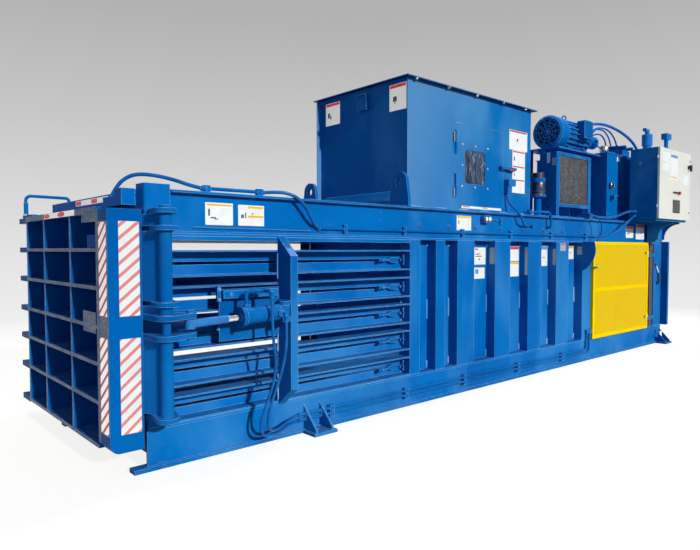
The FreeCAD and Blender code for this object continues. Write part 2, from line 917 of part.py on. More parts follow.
def hopper_throat():
    """Four plates between the beams that line the charge opening."""
    x0, x1 = hopper_x
    half = beam_inner_y
    side = box(x0, x1, -half, -half + throat_wall, beam_z, beam_top)
    front = box(x0, x0 + throat_wall, -half + throat_wall, half - throat_wall, beam_z, beam_top)
    rear = box(x1 - throat_wall, x1, -half + throat_wall, half - throat_wall, beam_z, beam_top)
    return [side, far_side(side), front, rear]


def hopper_shell():
    x0, x1 = hopper_x
    outer = box(x0, x1, -hopper_half, hopper_half, beam_top, hopper_top_z)
    lip = box(x0 - lip_overhang, x1 + lip_overhang, -hopper_half - lip_overhang,
              hopper_half + lip_overhang, hopper_top_z - lip_thickness, hopper_top_z)
    flange = box(x0 - lip_overhang, x0, hopper_half - hopper_sheet, hopper_half, beam_top, hopper_top_z)
    inner = box(x0 + hopper_sheet, x1 - hopper_sheet, -hopper_half + hopper_sheet,
                hopper_half - hopper_sheet, beam_top, hopper_top_z)
    opening = rounded_sheet(
        (man_door_x[0] - man_door_gap, man_door_x[1] + man_door_gap),
        (man_door_z[0] - man_door_gap, man_door_z[1] + man_door_gap),
        -hopper_half, -hopper_half + hopper_sheet, man_door_corner_r + man_door_gap)
    return cut(fuse(outer, lip, flange), inner, opening)


def fender():
    """A sloped plate with end gussets that sheds paper in front of the hopper."""
    half = lug_y - lug_base / 2
    top = (hopper_x[0], beam_top + fender_rise)
    toe = (hopper_x[0] - fender_run, beam_top)
    outline = [toe, top, (top[0], top[1] - fender_sheet), (toe[0] + fender_sheet, beam_top)]
    sheet = prism("xz", outline, -half, half)
    ends = [prism("xz", [toe, top, (top[0], beam_top)], -half, -half + fender_sheet)]
    ends.append(far_side(ends[0]))
    return fuse(sheet, *ends)


def lifting_lug():
    centre = (lug_x - lug_thickness / 2, -lug_y, lug_hole_z)
    reach = math.sqrt((lug_base / 2) ** 2 - lug_r ** 2)
    outline = [
        (-lug_y - lug_base / 2, beam_top), (-lug_y + lug_base / 2, beam_top),
        (-lug_y + lug_base / 2, beam_top + reach), (-lug_y + lug_r, lug_hole_z),
        (-lug_y - lug_r, lug_hole_z), (-lug_y - lug_base / 2, beam_top + reach),
    ]
    x0, x1 = lug_x - lug_thickness / 2, lug_x + lug_thickness / 2
    plate = fuse(prism("yz", outline, x0, x1), disc(lug_r, centre, X_AXIS, lug_thickness))
    return plate.cut(disc(lug_hole_r, centre, X_AXIS, lug_thickness))


def eye_box():
    """The sensor housing on the hopper's front wall, with a small rain hood."""
    x1 = hopper_x[0]
    body = box(x1 - eye_box_depth, x1, *eye_box_y, *eye_box_z)
    hood = box(x1 - eye_box_depth - eye_hood, x1, eye_box_y[0], eye_box_y[1],
               eye_box_z[1] - box_sheet, eye_box_z[1])
    return fuse(body, hood)


def switch_box():
    """The door switch with its plug and the sleeve of its cable."""
    body = box(*switch_x, -hopper_half - switch_depth, -hopper_half, *switch_z)
    body = round_edges(body, port_r, lambda edge: along_axis(edge, Y_AXIS))
    plug = box(*switch_plug_x, -hopper_half - switch_plug_depth, -hopper_half,
               switch_plug_z, switch_z[0])
    return fuse(body, plug, hose_fitting("switch_cable", "first"))


def beam_lamp():
    """The housing of a lamp on the beam's web."""
    web_y = -half_width + beam_web_recess
    body = box(*lamp_x, web_y - lamp_depth, web_y, *lamp_z)
    return round_edges(body, lamp_corner_r, lambda edge: along_axis(edge, Y_AXIS))


# ---------------------------------------------------------------- hinges

def hinge_halves(x, y, spans, barrel_radius, pin_radius):
    """For each span: a fixed lower knuckle with its pin, and a moving upper knuckle."""
    fixed, moving = [], []
    for z0, z1 in spans:
        middle = (z0 + z1) / 2
        pin = disc(pin_radius, (x, y, z0), Z_AXIS, z1 - z0)
        lower = disc(barrel_radius, (x, y, z0), Z_AXIS, middle - z0)
        upper = disc(barrel_radius, (x, y, middle + running_gap), Z_AXIS, z1 - middle - running_gap)
        bore = disc(pin_radius + pin_clearance, (x, y, z0), Z_AXIS, z1 - z0)
        fixed.append((fuse(lower, pin), z0, middle))
        moving.append((upper.cut(bore), middle + running_gap, z1))
    return fixed, moving


# ---------------------------------------------------------------- man door

def man_door_hinge_parts():
    y = -hopper_half - hinge_barrel_r - seat_gap
    return hinge_halves(man_door_x[0], y, man_hinge_z, hinge_barrel_r, hinge_pin_r)


def man_door():
    panel = rounded_sheet(man_door_x, man_door_z, -hopper_half, -hopper_half + hopper_sheet,
                          man_door_corner_r)
    window = rounded_sheet(window_x, window_z, -hopper_half, -hopper_half + hopper_sheet,
                           window_corner_r)
    pieces = []
    for knuckle, z0, z1 in man_door_hinge_parts()[1]:
        leaf = box(man_door_x[0], man_door_x[0] + hinge_leaf_width, -hopper_half - hinge_leaf,
                   -hopper_half, z0, z1)
        bore = disc(hinge_pin_r + pin_clearance,
                    (man_door_x[0], -hopper_half - hinge_barrel_r - seat_gap, z0), Z_AXIS, z1 - z0)
        pieces.append(fuse(knuckle, leaf.cut(bore)))
    stem_hole = disc(latch_stem_r + pin_clearance, (latch_pivot_x, -hopper_half, latch_pivot_z),
                     Y_AXIS, hopper_sheet)
    return fuse(cut(panel, window, stem_hole), *pieces)


def man_door_hinges():
    pieces = []
    for knuckle, z0, z1 in man_door_hinge_parts()[0]:
        leaf = box(man_door_x[0] - hinge_leaf_width, man_door_x[0] - man_door_gap,
                   -hopper_half - hinge_leaf, -hopper_half, z0, z1)
        pieces.append(fuse(knuckle, leaf))
    return group(pieces)


def man_door_window():
    x = (window_x[0] - window_lap, window_x[1] + window_lap)
    z = (window_z[0] - window_lap, window_z[1] + window_lap)
    inside = -hopper_half + hopper_sheet
    return rounded_sheet(x, z, inside, inside + window_film, window_corner_r)


def man_door_latch():
    x, z = latch_pivot_x, latch_pivot_z
    stem = rod(latch_stem_r, (x, -hopper_half - latch_standoff, z), (x, -hopper_half + hopper_sheet, z))
    boss = rod(latch_boss_r, (x, -hopper_half - latch_standoff, z), (x, -hopper_half - seat_gap, z))
    face = -hopper_half - latch_standoff
    lever = box(x - latch_boss_r, x + latch_lever, face - latch_lever_thickness, face,
                z - latch_lever_height / 2, z + latch_lever_height / 2)
    end_round = latch_lever_height / 2 - 1
    lever = round_edges(lever, end_round, lambda edge: along_axis(edge, Y_AXIS))
    return fuse(stem, boss, lever)


# ---------------------------------------------------------------- discharge door

def door_grid():
    """A back plate with deep bars across it and short ribs between the bars."""
    x0, x1 = door_front_x, door_back_x - door_plate
    half = door_bar / 2
    back = box(x1, door_back_x, column_inner_y, door_far_y, *door_z)
    far_edge = box(x0, x1, door_far_y - door_bar, door_far_y, *door_z)
    bars = [box(x0, x1, column_inner_y, door_far_y - door_bar, z - half, z + half)
            for z in door_levels]
    ribs = []
    for low, high in zip(door_levels, door_levels[1:]):
        ribs += [box(x0, x1, y - half, y + half, low + half, high - half) for y in door_rib_y]
    return group([back, far_edge, *bars, *ribs])


def door_column():
    """The tubular column at the hinge side, rounded at its lower front corner."""
    x0, x1 = door_front_x, door_back_x
    outer = box(x0, x1, door_near_y, column_inner_y, *door_z)

    def lower_front(edge):
        centre = edge.CenterOfMass
        return along_axis(edge, Y_AXIS) and centre.x < x0 + 1 and centre.z < door_z[0] + 1

    outer = round_edges(outer, column_corner_r, lower_front)
    inner = box(x0 + column_wall, x1 - column_wall, door_near_y + column_wall,
                column_inner_y - column_wall, door_z[0] + column_corner_r, door_z[1])
    return outer.cut(inner)


def door_lock_lugs():
    """Hooked lugs at the free edge: a bar across and an arm back along the lock post."""
    outer_y = door_far_y + lug_reach
    lugs = []
    for z in door_levels:
        z0, z1 = z - lug_bar / 2, z + lug_bar / 2
        arm_y = outer_y - lug_arm
        head = box(door_front_x, door_front_x + lug_bar_depth, door_far_y, arm_y, z0, z1)
        arm = box(door_front_x, catch_x[1], arm_y, outer_y, z0, z1)
        catch = box(*catch_x, arm_y - catch_reach, arm_y, z0, z1)
        lugs += [head, arm, catch]
    return group(lugs)


def door_hinge_barrels():
    """Two barrels on the door with their leaves, and the pair of crank arms between them."""
    root_y = (door_near_y, door_near_y + leaf_thickness)
    lower = (bracket_z[0] + bracket_thickness + running_gap, arm_z[0])
    middle = (arm_z[1] + arm_thickness, bracket_z[1] - running_gap)
    upper = (bracket_z[1] + bracket_thickness + running_gap, bracket_z[2] - running_gap)
    top = (bracket_z[2] + bracket_thickness + running_gap, bracket_z[3] - running_gap)
    pieces = []
    for z0, z1 in (lower, middle, upper, top):
        pieces.append(disc(barrel_r, (hinge_x, hinge_y, z0), Z_AXIS, z1 - z0))
        leaf = [
            (door_back_x, root_y[0]), (door_back_x, root_y[1]),
            (hinge_x + leaf_thickness / 2, hinge_y), (hinge_x - leaf_thickness / 2, hinge_y),
        ]
        pieces.append(prism("xy", leaf, z0, z1))
    for z0 in arm_z:
        z1 = z0 + arm_thickness
        pieces.append(disc(arm_end_r, (crank_x, crank_y, z0), Z_AXIS, arm_thickness))
        pieces.append(disc(bracket_r, (hinge_x, hinge_y, z0), Z_AXIS, arm_thickness))
        arm = [
            (hinge_x, hinge_y - bracket_r), (crank_x, crank_y - arm_end_r),
            (crank_x, crank_y + arm_end_r), (hinge_x, hinge_y + bracket_r),
        ]
        pieces.append(prism("xy", arm, z0, z1))
        root = [
            (door_back_x, root_y[1]), (door_back_x, root_y[0]), (hinge_x - bracket_r, hinge_y),
            (hinge_x, hinge_y + bracket_r),
        ]
        pieces.append(prism("xy", root, z0, z1))
    solid = fuse(*pieces)
    bore = disc(hinge_pin_radius + pin_clearance, (hinge_x, hinge_y, 0), Z_AXIS, post_top_z)
    return solid.cut(bore)


def crank_pin_caps():
    """The flanged pin ends above and below the crank arms."""
    caps = []
    for z0, direction in ((arm_z[0], -1), (arm_z[1] + arm_thickness, 1)):
        caps.append(disc(crank_pin_r + crank_cap_flange, (crank_x, crank_y, z0), Z_AXIS * direction,
                         crank_cap))
    return group(caps)


def hinge_brackets():
    """Round-ended plates that carry the hinge pin on the front post."""
    plates = []
    x0, x1 = front_x + post_corner_r, front_x + post_depth
    for z0 in bracket_z:
        z1 = z0 + bracket_thickness
        end = disc(bracket_r, (hinge_x, hinge_y, z0), Z_AXIS, bracket_thickness)
        neck = [
            (x0, -half_width), (hinge_x - bracket_r, hinge_y), (hinge_x + bracket_r, hinge_y),
            (x1, -half_width),
        ]
        plate = fuse(end, prism("xy", neck, z0, z1))
        plates.append(plate.cut(disc(hinge_pin_radius, (hinge_x, hinge_y, z0), Z_AXIS,
                                     bracket_thickness)))
    return group(plates)


def hinge_pin():
    bottom = bracket_z[0] - bearing_cap
    top = bracket_z[-1] + bracket_thickness
    shank = disc(hinge_pin_radius, (hinge_x, hinge_y, bottom), Z_AXIS, top - bottom)
    cap = disc(bearing_cap_r, (hinge_x, hinge_y, top), Z_AXIS, bearing_cap)
    foot = disc(bearing_cap_r, (hinge_x, hinge_y, bottom), Z_AXIS, bearing_cap)
    return fuse(shank, cap, foot)


# ---------------------------------------------------------------- door cylinder

door_anchor = Vec(anchor_x, anchor_y, anchor_z)
door_crank = Vec(crank_x, crank_y, crank_z)
door_line = (door_crank - door_anchor).normalize()
crank_distance = (door_crank - door_anchor).Length


def on_line(distance):
    """A point on the cylinder's axis, measured from the rear pivot."""
    return door_anchor + door_line * distance


def line_bar(radius, start, end):
    return Part.makeCylinder(radius, end - start, on_line(start), door_line)


head_face = crank_distance - rod_eye_r - sleeve_length - chrome_showing


def door_cylinder_barrel():
    front = head_face
    head_back = front - head_length
    head = line_bar(head_r, head_back, front)
    tube = line_bar(tube_r, rear_neck, head_back)
    neck = line_bar(rear_eye_r, 0, rear_neck)
    eye = disc(rear_eye_r, (anchor_x, anchor_y, anchor_z - rear_eye_height / 2), Z_AXIS,
               rear_eye_height)
    shape = fuse(head, tube, neck, eye)
    front_port = on_line(head_back - port_block / 2) + Z_AXIS * tube_r
    rear_port = on_line(rear_neck + port_block / 2) - Y_AXIS * tube_r
    ports = [
        box(port.x - port_block / 2, port.x + port_block / 2, port.y - port_block / 2,
            port.y + port_block / 2, port.z - port_block / 2, port.z + port_block / 2)
        for port in (front_port, rear_port)
    ]
    drop = door_hose_front_route[0]
    top = drop[2] + fitting_length
    over = [front_port, (front_port.x, front_port.y, top), (drop[0], front_port.y, top),
            (drop[0], drop[1], top), (drop[0], drop[1], drop[2] + port_r)]
    carried = bent_tube(over, [2 * port_r] * 3, port_r)
    down = door_hose_rear_route[0]
    elbow = [rear_port, (down[0], down[1], rear_port.z), (down[0], down[1], down[2] + port_r)]
    short = bent_tube(elbow, [port_r + 1], port_r)
    ends = [hose_fitting("door_hose_front", "first"), hose_fitting("door_hose_rear", "first")]
    shape = fuse(shape, *ports, carried, short, *ends)
    bore = line_bar(tube_bore_r, rear_neck + cap_length, head_back)
    gland = line_bar(door_rod_r + seat_gap, head_back, front)
    pivot = disc(rear_pin_r + pin_clearance, (anchor_x, anchor_y, anchor_z - rear_eye_height),
                 Z_AXIS, 2 * rear_eye_height)
    return cut(shape, bore, gland, pivot)


def door_cylinder_rod():
    eye = disc(rod_eye_r, (crank_x, crank_y, crank_z - rod_eye_height / 2), Z_AXIS, rod_eye_height)
    sleeve = line_bar(sleeve_r, crank_distance - rod_eye_r - sleeve_length, crank_distance)
    sleeve = sleeve.cut(disc(rod_eye_r, (crank_x, crank_y, crank_z - rod_eye_height), Z_AXIS,
                             2 * rod_eye_height))
    past_pin = door_crank + door_line * rod_eye_r
    keep = box(past_pin.x, anchor_x, crank_y - rod_eye_height, crank_y + rod_eye_height,
               crank_z - rod_eye_height, crank_z + rod_eye_height)
    sleeve = sleeve.common(keep)
    piston_back = rear_neck + cap_length + seat_gap
    shank = line_bar(door_rod_r, piston_back, crank_distance - rod_eye_r - sleeve_length)
    piston = line_bar(tube_bore_r - seat_gap, piston_back, piston_back + piston_height)
    return fuse(eye, sleeve, shank, piston)


def cylinder_anchor():
    """Backing plate across the slats, and the two ears on the bay post."""
    y1 = -half_width
    backing = box(backing_x, bay_post_x, y1 - backing_thickness, y1, *backing_z)
    ears = []
    half_gap = rear_eye_height / 2 + running_gap
    root_y = (-half_width - bay_post_reach, -half_width - backing_thickness)
    for z0 in (anchor_z - half_gap - ear_thickness, anchor_z + half_gap):
        nose = disc(rear_eye_r, (anchor_x, anchor_y, z0), Z_AXIS, ear_thickness)
        outline = [
            (anchor_x, anchor_y - rear_eye_r), (bay_post_x, root_y[0]), (bay_post_x, root_y[1]),
            (anchor_x, anchor_y + rear_eye_r),
        ]
        ears.append(fuse(nose, prism("xy", outline, z0, z0 + ear_thickness)))
    pin_height = 2 * (half_gap + ear_thickness)
    pin = disc(rear_pin_r, (anchor_x, anchor_y, anchor_z - pin_height / 2), Z_AXIS, pin_height)
    return group([backing, fuse(*ears, pin)])


# ---------------------------------------------------------------- lock bar

def door_lock_bar():
    """A vertical bar whose teeth stand clear of the catches, and drop in front of them to lock."""
    bar = box(*bar_x, *bar_y, bar_bottom_z, bar_top_z)
    teeth = []
    for z in door_levels:
        centre = z + lock_travel
        teeth.append(box(*bar_x, bar_y[1], bar_y[1] + tooth_reach, centre - tooth_height / 2,
                         centre + tooth_height / 2))
    plate = box(bar_x[1], lock_cylinder_x + lock_cylinder_r, *bar_y, lock_plate_z,
                lock_plate_z + ram_plate)
    link = rod(lock_rod_r, (lock_cylinder_x, lock_cylinder_y, lock_rod_bottom),
               (lock_cylinder_x, lock_cylinder_y, lock_plate_z))
    return group([bar, plate, link, *teeth])


def lock_guides():
    """Two open guides and the lock cylinder on the far face of the lock post."""
    pieces = []
    reach = bar_y[1] + seat_gap + guide_wall
    for index in (1, 4):
        z0 = door_levels[index] + lock_travel + tooth_height / 2 + seat_gap
        z1 = z0 + guide_strap
        frame = box(bar_x[0] - seat_gap - guide_wall, bar_x[1] + seat_gap + guide_wall, lock_post_y,
                    reach, z0, z1)
        slot = box(bar_x[0] - seat_gap, bar_x[1] + seat_gap, lock_post_y, bar_y[1] + seat_gap, z0, z1)
        pieces.append(frame.cut(slot))
    z0, z1 = lock_cylinder_z
    centre = (lock_cylinder_x, lock_cylinder_y)
    tube = disc(lock_cylinder_r, (*centre, z0), Z_AXIS, z1 - z0)
    bore = disc(lock_rod_r + pin_clearance, (*centre, z0 + guide_strap), Z_AXIS, z1 - z0)
    seat = box(lock_cylinder_x - lock_cylinder_r, lock_cylinder_x + lock_cylinder_r, lock_post_y,
               lock_cylinder_y, z0, z0 + guide_strap)
    pieces.append(fuse(tube, seat).cut(bore))
    return group(pieces)


# ---------------------------------------------------------------- ram and main cylinder

def ram_platen():
    half = chamber_half - ram_side_gap
    low = floor_z + ram_top_gap
    high = roof_z - ram_top_gap
    face = box(ram_face_x, ram_face_x + platen, -half, half, low, high)
    grooves = [box(ram_face_x, ram_face_x + platen / 2, -half, half, z - slot_height / 2,
                   z + slot_height / 2) for z in slot_centres]
    return cut(face, *grooves)


def ram_box():
    """The ram behind the platen: two side plates and a cover that shuts the charge opening."""
    half = chamber_half - ram_side_gap
    high = roof_z - ram_top_gap
    x0 = ram_face_x + platen
    x1 = x0 + ram_length
    outline = [
        (-half, floor_z + ram_shoe_gap), (-half, high), (half, high), (half, floor_z + ram_shoe_gap),
        (half - 4 * ram_plate, floor_z + ram_shoe_gap),
        (half - 4 * ram_plate, floor_z + ram_shoe_gap + ram_plate),
        (half - ram_plate, floor_z + ram_shoe_gap + ram_plate), (half - ram_plate, high - ram_plate),
        (-half + ram_plate, high - ram_plate), (-half + ram_plate, floor_z + ram_shoe_gap + ram_plate),
        (-half + 4 * ram_plate, floor_z + ram_shoe_gap + ram_plate),
        (-half + 4 * ram_plate, floor_z + ram_shoe_gap),
    ]
    return prism("yz", outline, x0, x1)


def ram_rod():
    x0 = ram_face_x + platen
    end = rear_x - main_gland - piston_length
    boss = disc(main_rod_r + 2 * ram_plate, (x0, 0, cylinder_z), X_AXIS, main_gland)
    bar = rod(main_rod_r, (x0, 0, cylinder_z), (end, 0, cylinder_z))
    piston = disc(main_bore_r - seat_gap, (end, 0, cylinder_z), X_AXIS, piston_length)
    return fuse(boss, bar, piston)


def main_cylinder():
    tube = disc(main_tube_r, (main_tube_x, 0, cylinder_z), X_AXIS, rear_x + end_plate - main_tube_x)
    flange = disc(main_flange_r, (rear_x + end_plate, 0, cylinder_z), X_AXIS, main_flange)
    bore = disc(main_bore_r, (main_tube_x + main_gland, 0, cylinder_z), X_AXIS,
                rear_x - main_tube_x - main_gland)
    gland = disc(main_rod_r + seat_gap, (main_tube_x, 0, cylinder_z), X_AXIS, main_gland)
    return cut(fuse(tube, flange), bore, gland)


def shear_blades():
    """The fixed blade at the front edge of the charge opening, below the roof plate."""
    x1 = hopper_x[0]
    return box(x1, x1 + shear_bar, -chamber_half, chamber_half, roof_z - ram_top_gap + shear_gap,
               beam_z)


# ---------------------------------------------------------------- side guard

def guard_frame():
    """A welded angle frame with a middle bar and two hinge knuckles on its rear edge."""
    x0, x1 = guard_x
    z0, z1 = guard_z
    y0 = guard_face_y
    depth = -half_width - seat_gap - y0
    bars = [
        box(x0, x1, y0, y0 + guard_bar, z0, z0 + guard_angle),
        box(x0, x1, y0, y0 + guard_bar, z1 - guard_angle, z1),
        box(x0, x0 + guard_angle, y0, y0 + guard_bar, z0, z1),
        box(x1 - guard_angle, x1, y0, y0 + guard_bar, z0, z1),
        box(x0, x1, y0, y0 + guard_bar, guard_mid_z - guard_angle / 2, guard_mid_z + guard_angle / 2),
        box(x0, x1, y0, y0 + depth, z0, z0 + guard_bar),
        box(x0, x1, y0, y0 + depth, z1 - guard_bar, z1),
        box(x0, x0 + guard_bar, y0, y0 + depth, z0, z1),
        box(x1 - guard_bar, x1, y0, y0 + depth, z0, z1),
    ]
    knuckles = []
    bore_y = guard_face_y + hinge_barrel_r
    for knuckle, z_low, z_high in guard_hinge_parts()[1]:
        leaf = box(x1 - guard_bar, guard_hinge_x, y0, y0 + guard_bar, z_low, z_high)
        bore = disc(hinge_pin_r + pin_clearance, (guard_hinge_x, bore_y, z_low), Z_AXIS,
                    z_high - z_low)
        knuckles.append(fuse(knuckle, leaf.cut(bore)))
    stem = disc(guard_latch_r + pin_clearance, (guard_latch[0], y0, guard_latch[1]), Y_AXIS, guard_bar)
    return fuse(*bars, *knuckles).cut(stem)


def guard_hinge_parts():
    spans = [(z - guard_hinge_height / 2, z + guard_hinge_height / 2) for z in guard_hinge_z]
    return hinge_halves(guard_hinge_x, guard_face_y + hinge_barrel_r, spans, hinge_barrel_r,
                        hinge_pin_r)


def guard_hinges():
    """Fixed knuckles on plates that reach forward from the rear post."""
    pieces = []
    for knuckle, z0, z1 in guard_hinge_parts()[0]:
        plate = box(guard_hinge_x, rear_post_x + tube_wall, -half_width - hinge_leaf, -half_width,
                    z0, z1)
        web = box(guard_hinge_x, guard_hinge_x + hinge_barrel_r, guard_face_y + hinge_barrel_r,
                  -half_width, z0, z1)
        pieces.append(fuse(knuckle, plate, web))
    return group(pieces)


def guard_mesh_panel():
    y0 = guard_face_y + guard_bar
    return box(guard_x[0] + guard_bar, guard_x[1] - guard_bar, y0, y0 + guard_mesh,
               guard_z[0] + guard_bar, guard_z[1] - guard_bar)


def guard_latch_handle():
    x, z = guard_latch
    y0 = guard_face_y
    stem = rod(guard_latch_r, (x, y0 - 4 * guard_bar, z), (x, y0 + guard_bar - seat_gap, z))
    grip = box(x - guard_latch_grip / 2, x + guard_latch_grip / 2, y0 - 7 * guard_bar,
               y0 - 4 * guard_bar, z - guard_latch_r, z + guard_latch_r)
    return fuse(stem, round_edges(grip, guard_latch_r - 1, lambda edge: along_axis(edge, Y_AXIS)))


# ---------------------------------------------------------------- power unit

def oil_tank():
    outer = box(*tank_x, *tank_y, deck_top, tank_top_z)
    inner = box(tank_x[0] + tank_sheet, tank_x[1] - tank_sheet, tank_y[0] + tank_sheet,
                tank_y[1] - tank_sheet, deck_top + tank_sheet, tank_top_z)
    bore = disc(valve_r, (valve_x, tank_y[0], valve_z), Y_AXIS, tank_sheet)
    return cut(outer, inner, bore)


def tank_lid_plate():
    over = tank_lid_overhang
    return box(tank_x[0] - over, tank_x[1] + over, tank_y[0] - over, tank_y[1] + over, tank_top_z,
               lid_top)


def oil_cooler():
    """The cooler's frame: a deep box with a window for the core, on four short legs."""
    x0, x1 = cooler_x
    y0, y1 = cooler_y
    z0, z1 = cooler_z
    outer = box(x0, x1, y0, y1, z0, z1)
    window = box(x0 + cooler_rim, x1 - cooler_rim, y0, y0 + cooler_core_inset + cooler_core_depth,
                 z0 + cooler_rim / 2, z1 - cooler_rim / 2)
    back = box(x0 + cooler_rim / 2, x1 - cooler_rim / 2, y0 + cooler_core_inset + cooler_core_depth,
               y1 - tube_wall, z0 + cooler_rim / 2, z1 - cooler_rim / 2)
    outlet = disc((z1 - z0) / 2 - cooler_rim, ((x0 + x1) / 2, y1 - tube_wall, (z0 + z1) / 2), Y_AXIS,
                  tube_wall)
    legs = [box(x, x + cooler_leg, y, y + cooler_leg, deck_top, z0)
            for x in (x0, x1 - cooler_leg) for y in (y0, y1 - cooler_leg)]
    return fuse(cut(outer, window, back, outlet), *legs)


def cooler_core():
    x0, x1 = cooler_x
    y0 = cooler_y[0] + cooler_core_inset
    return box(x0 + cooler_rim, x1 - cooler_rim, y0, y0 + cooler_core_depth,
               cooler_z[0] + cooler_rim / 2, cooler_z[1] - cooler_rim / 2)


def motor_stand():
    plate = box(*stand_x, *stand_y, stand_top - stand_plate, stand_top)
    leg_y = (cooler_y[1] + stand_plate, stand_y[1] - stand_leg)
    legs = []
    for x in (stand_x[0], stand_x[1] - stand_leg):
        for y in leg_y:
            outer = box(x, x + stand_leg, y, y + stand_leg, deck_top, stand_top - stand_plate)
            inner = box(x + tube_wall, x + stand_leg, y + tube_wall, y + stand_leg, deck_top,
                        stand_top - stand_plate)
            legs.append(outer.cut(inner))
    return [plate, *legs]


def motor_housing():
    """A finned frame with end bells, feet and a lifting eye."""
    frame_x = motor_x[0] + fan_cover_length
    core = rod(motor_core_r, (frame_x, motor_y, motor_z), (motor_x[1], motor_y, motor_z))
    bell = disc(motor_r - motor_fin_height, (motor_x[1] - 3 * motor_fin_height, motor_y, motor_z),
                X_AXIS, 3 * motor_fin_height)
    front_bell = disc(motor_r - fan_cover_sheet, (frame_x, motor_y, motor_z), X_AXIS,
                      2 * motor_fin_height)
    fins = []
    for i in range(motor_fin_count):
        angle = 360.0 * i / motor_fin_count
        fin = box(frame_x, motor_x[1] - 3 * motor_fin_height, -rib_wall / 2, rib_wall / 2,
                  motor_core_r - motor_fin_height, motor_r - motor_fin_height / 2)
        fin.rotate(Vec(0, 0, 0), X_AXIS, angle)
        fin.translate(Vec(0, motor_y, motor_z))
        fins.append(fin)
    feet = []
    for x in (frame_x + motor_foot_half / 2, motor_x[1] - motor_foot_half):
        outline = [
            (motor_y - motor_foot_half, stand_top), (motor_y + motor_foot_half, stand_top),
            (motor_y + motor_foot_half, stand_top + 2 * tube_wall),
            (motor_y + motor_foot_half / 2, motor_z - motor_core_r / 2),
            (motor_y - motor_foot_half / 2, motor_z - motor_core_r / 2),
            (motor_y - motor_foot_half, stand_top + 2 * tube_wall),
        ]
        feet.append(prism("yz", outline, x, x + motor_foot_half / 2))
    eye_x = (frame_x + motor_x[1]) / 2 - motor_foot_half / 2
    ring = Part.makeTorus(*eye_ring, Vec(eye_x, motor_y, motor_z + motor_r + eye_lift), X_AXIS)
    stem = disc(eye_stem_r, (eye_x, motor_y, motor_z + motor_core_r - motor_fin_height), Z_AXIS,
                motor_r - motor_core_r + motor_fin_height)
    shaft_bore = disc(shaft_r + pin_clearance, (motor_x[0], motor_y, motor_z), X_AXIS,
                      motor_x[1] - motor_x[0])
    shape = fuse(core, bell, front_bell, *fins, *feet, stem, ring)
    return shape.cut(shaft_bore)


def fan_cover():
    """A spun cowl with a slotted grille over the fan."""
    x0 = motor_x[0]
    x1 = x0 + fan_cover_length + motor_fin_height
    sheet = fan_cover_sheet
    profile = [
        Vec(x0, motor_y, motor_z), Vec(x0, motor_y, motor_z + motor_r - 4 * sheet),
        Vec(x0 + 4 * sheet, motor_y, motor_z + motor_r),
        Vec(x1, motor_y, motor_z + motor_r), Vec(x1, motor_y, motor_z + motor_r - sheet),
        Vec(x0 + 4 * sheet, motor_y, motor_z + motor_r - sheet),
        Vec(x0 + sheet, motor_y, motor_z + motor_r - 4 * sheet), Vec(x0 + sheet, motor_y, motor_z),
    ]
    face = Part.Face(Part.makePolygon(profile + [profile[0]]))
    cowl = face.revolve(Vec(0, motor_y, motor_z), X_AXIS, 360)
    slots = []
    half = fan_slot_width / 2
    for ring, length in fan_slots:
        for i in range(fan_slot_count):
            slot = box(x0 - sheet, x0 + 2 * sheet, -length / 2, length / 2, motor_r * ring - half,
                       motor_r * ring + half)
            slot.rotate(Vec(0, 0, 0), X_AXIS, 360.0 * i / fan_slot_count)
            slot.translate(Vec(0, motor_y, motor_z))
            slots.append(slot)
    return cut(cowl, *slots)


def motor_rotor():
    """Shaft with the external cooling fan and the pump coupling hub."""
    start = motor_x[0] + 4 * fan_cover_sheet
    shaft = rod(shaft_r, (start, motor_y, motor_z),
                (motor_x[1] + pump_flange + pump_bell / 2, motor_y, motor_z))
    hub = disc(fan_hub_r, (start, motor_y, motor_z), X_AXIS, fan_cover_length / 2)
    coupling = disc(2 * shaft_r, (motor_x[1] + pump_flange, motor_y, motor_z), X_AXIS, pump_bell / 2)
    blades = []
    for i in range(fan_blades):
        blade = box(start, start + fan_cover_length / 2, -fan_blade / 2, fan_blade / 2,
                    fan_hub_r - fan_blade / 2, fan_r)
        blade.rotate(Vec(0, 0, 0), X_AXIS, 360.0 * i / fan_blades)
        blade.translate(Vec(0, motor_y, motor_z))
        blades.append(blade)
    return fuse(shaft, hub, coupling, *blades)


def junction_box():
    body = box(*junction_x, *junction_y, *junction_z)
    body = round_edges(body, 2 * port_r, lambda edge: along_axis(edge, Y_AXIS))
    neck = box(junction_x[0] + 2 * port_block, junction_x[1] - 2 * port_block, junction_y[1],
               motor_y - motor_core_r / 2, motor_z - port_block, motor_z + port_block)
    core = rod(motor_r - motor_fin_height / 2 + seat_gap, (motor_x[0], motor_y, motor_z),
               (motor_x[1], motor_y, motor_z))
    return fuse(body, neck).cut(core)


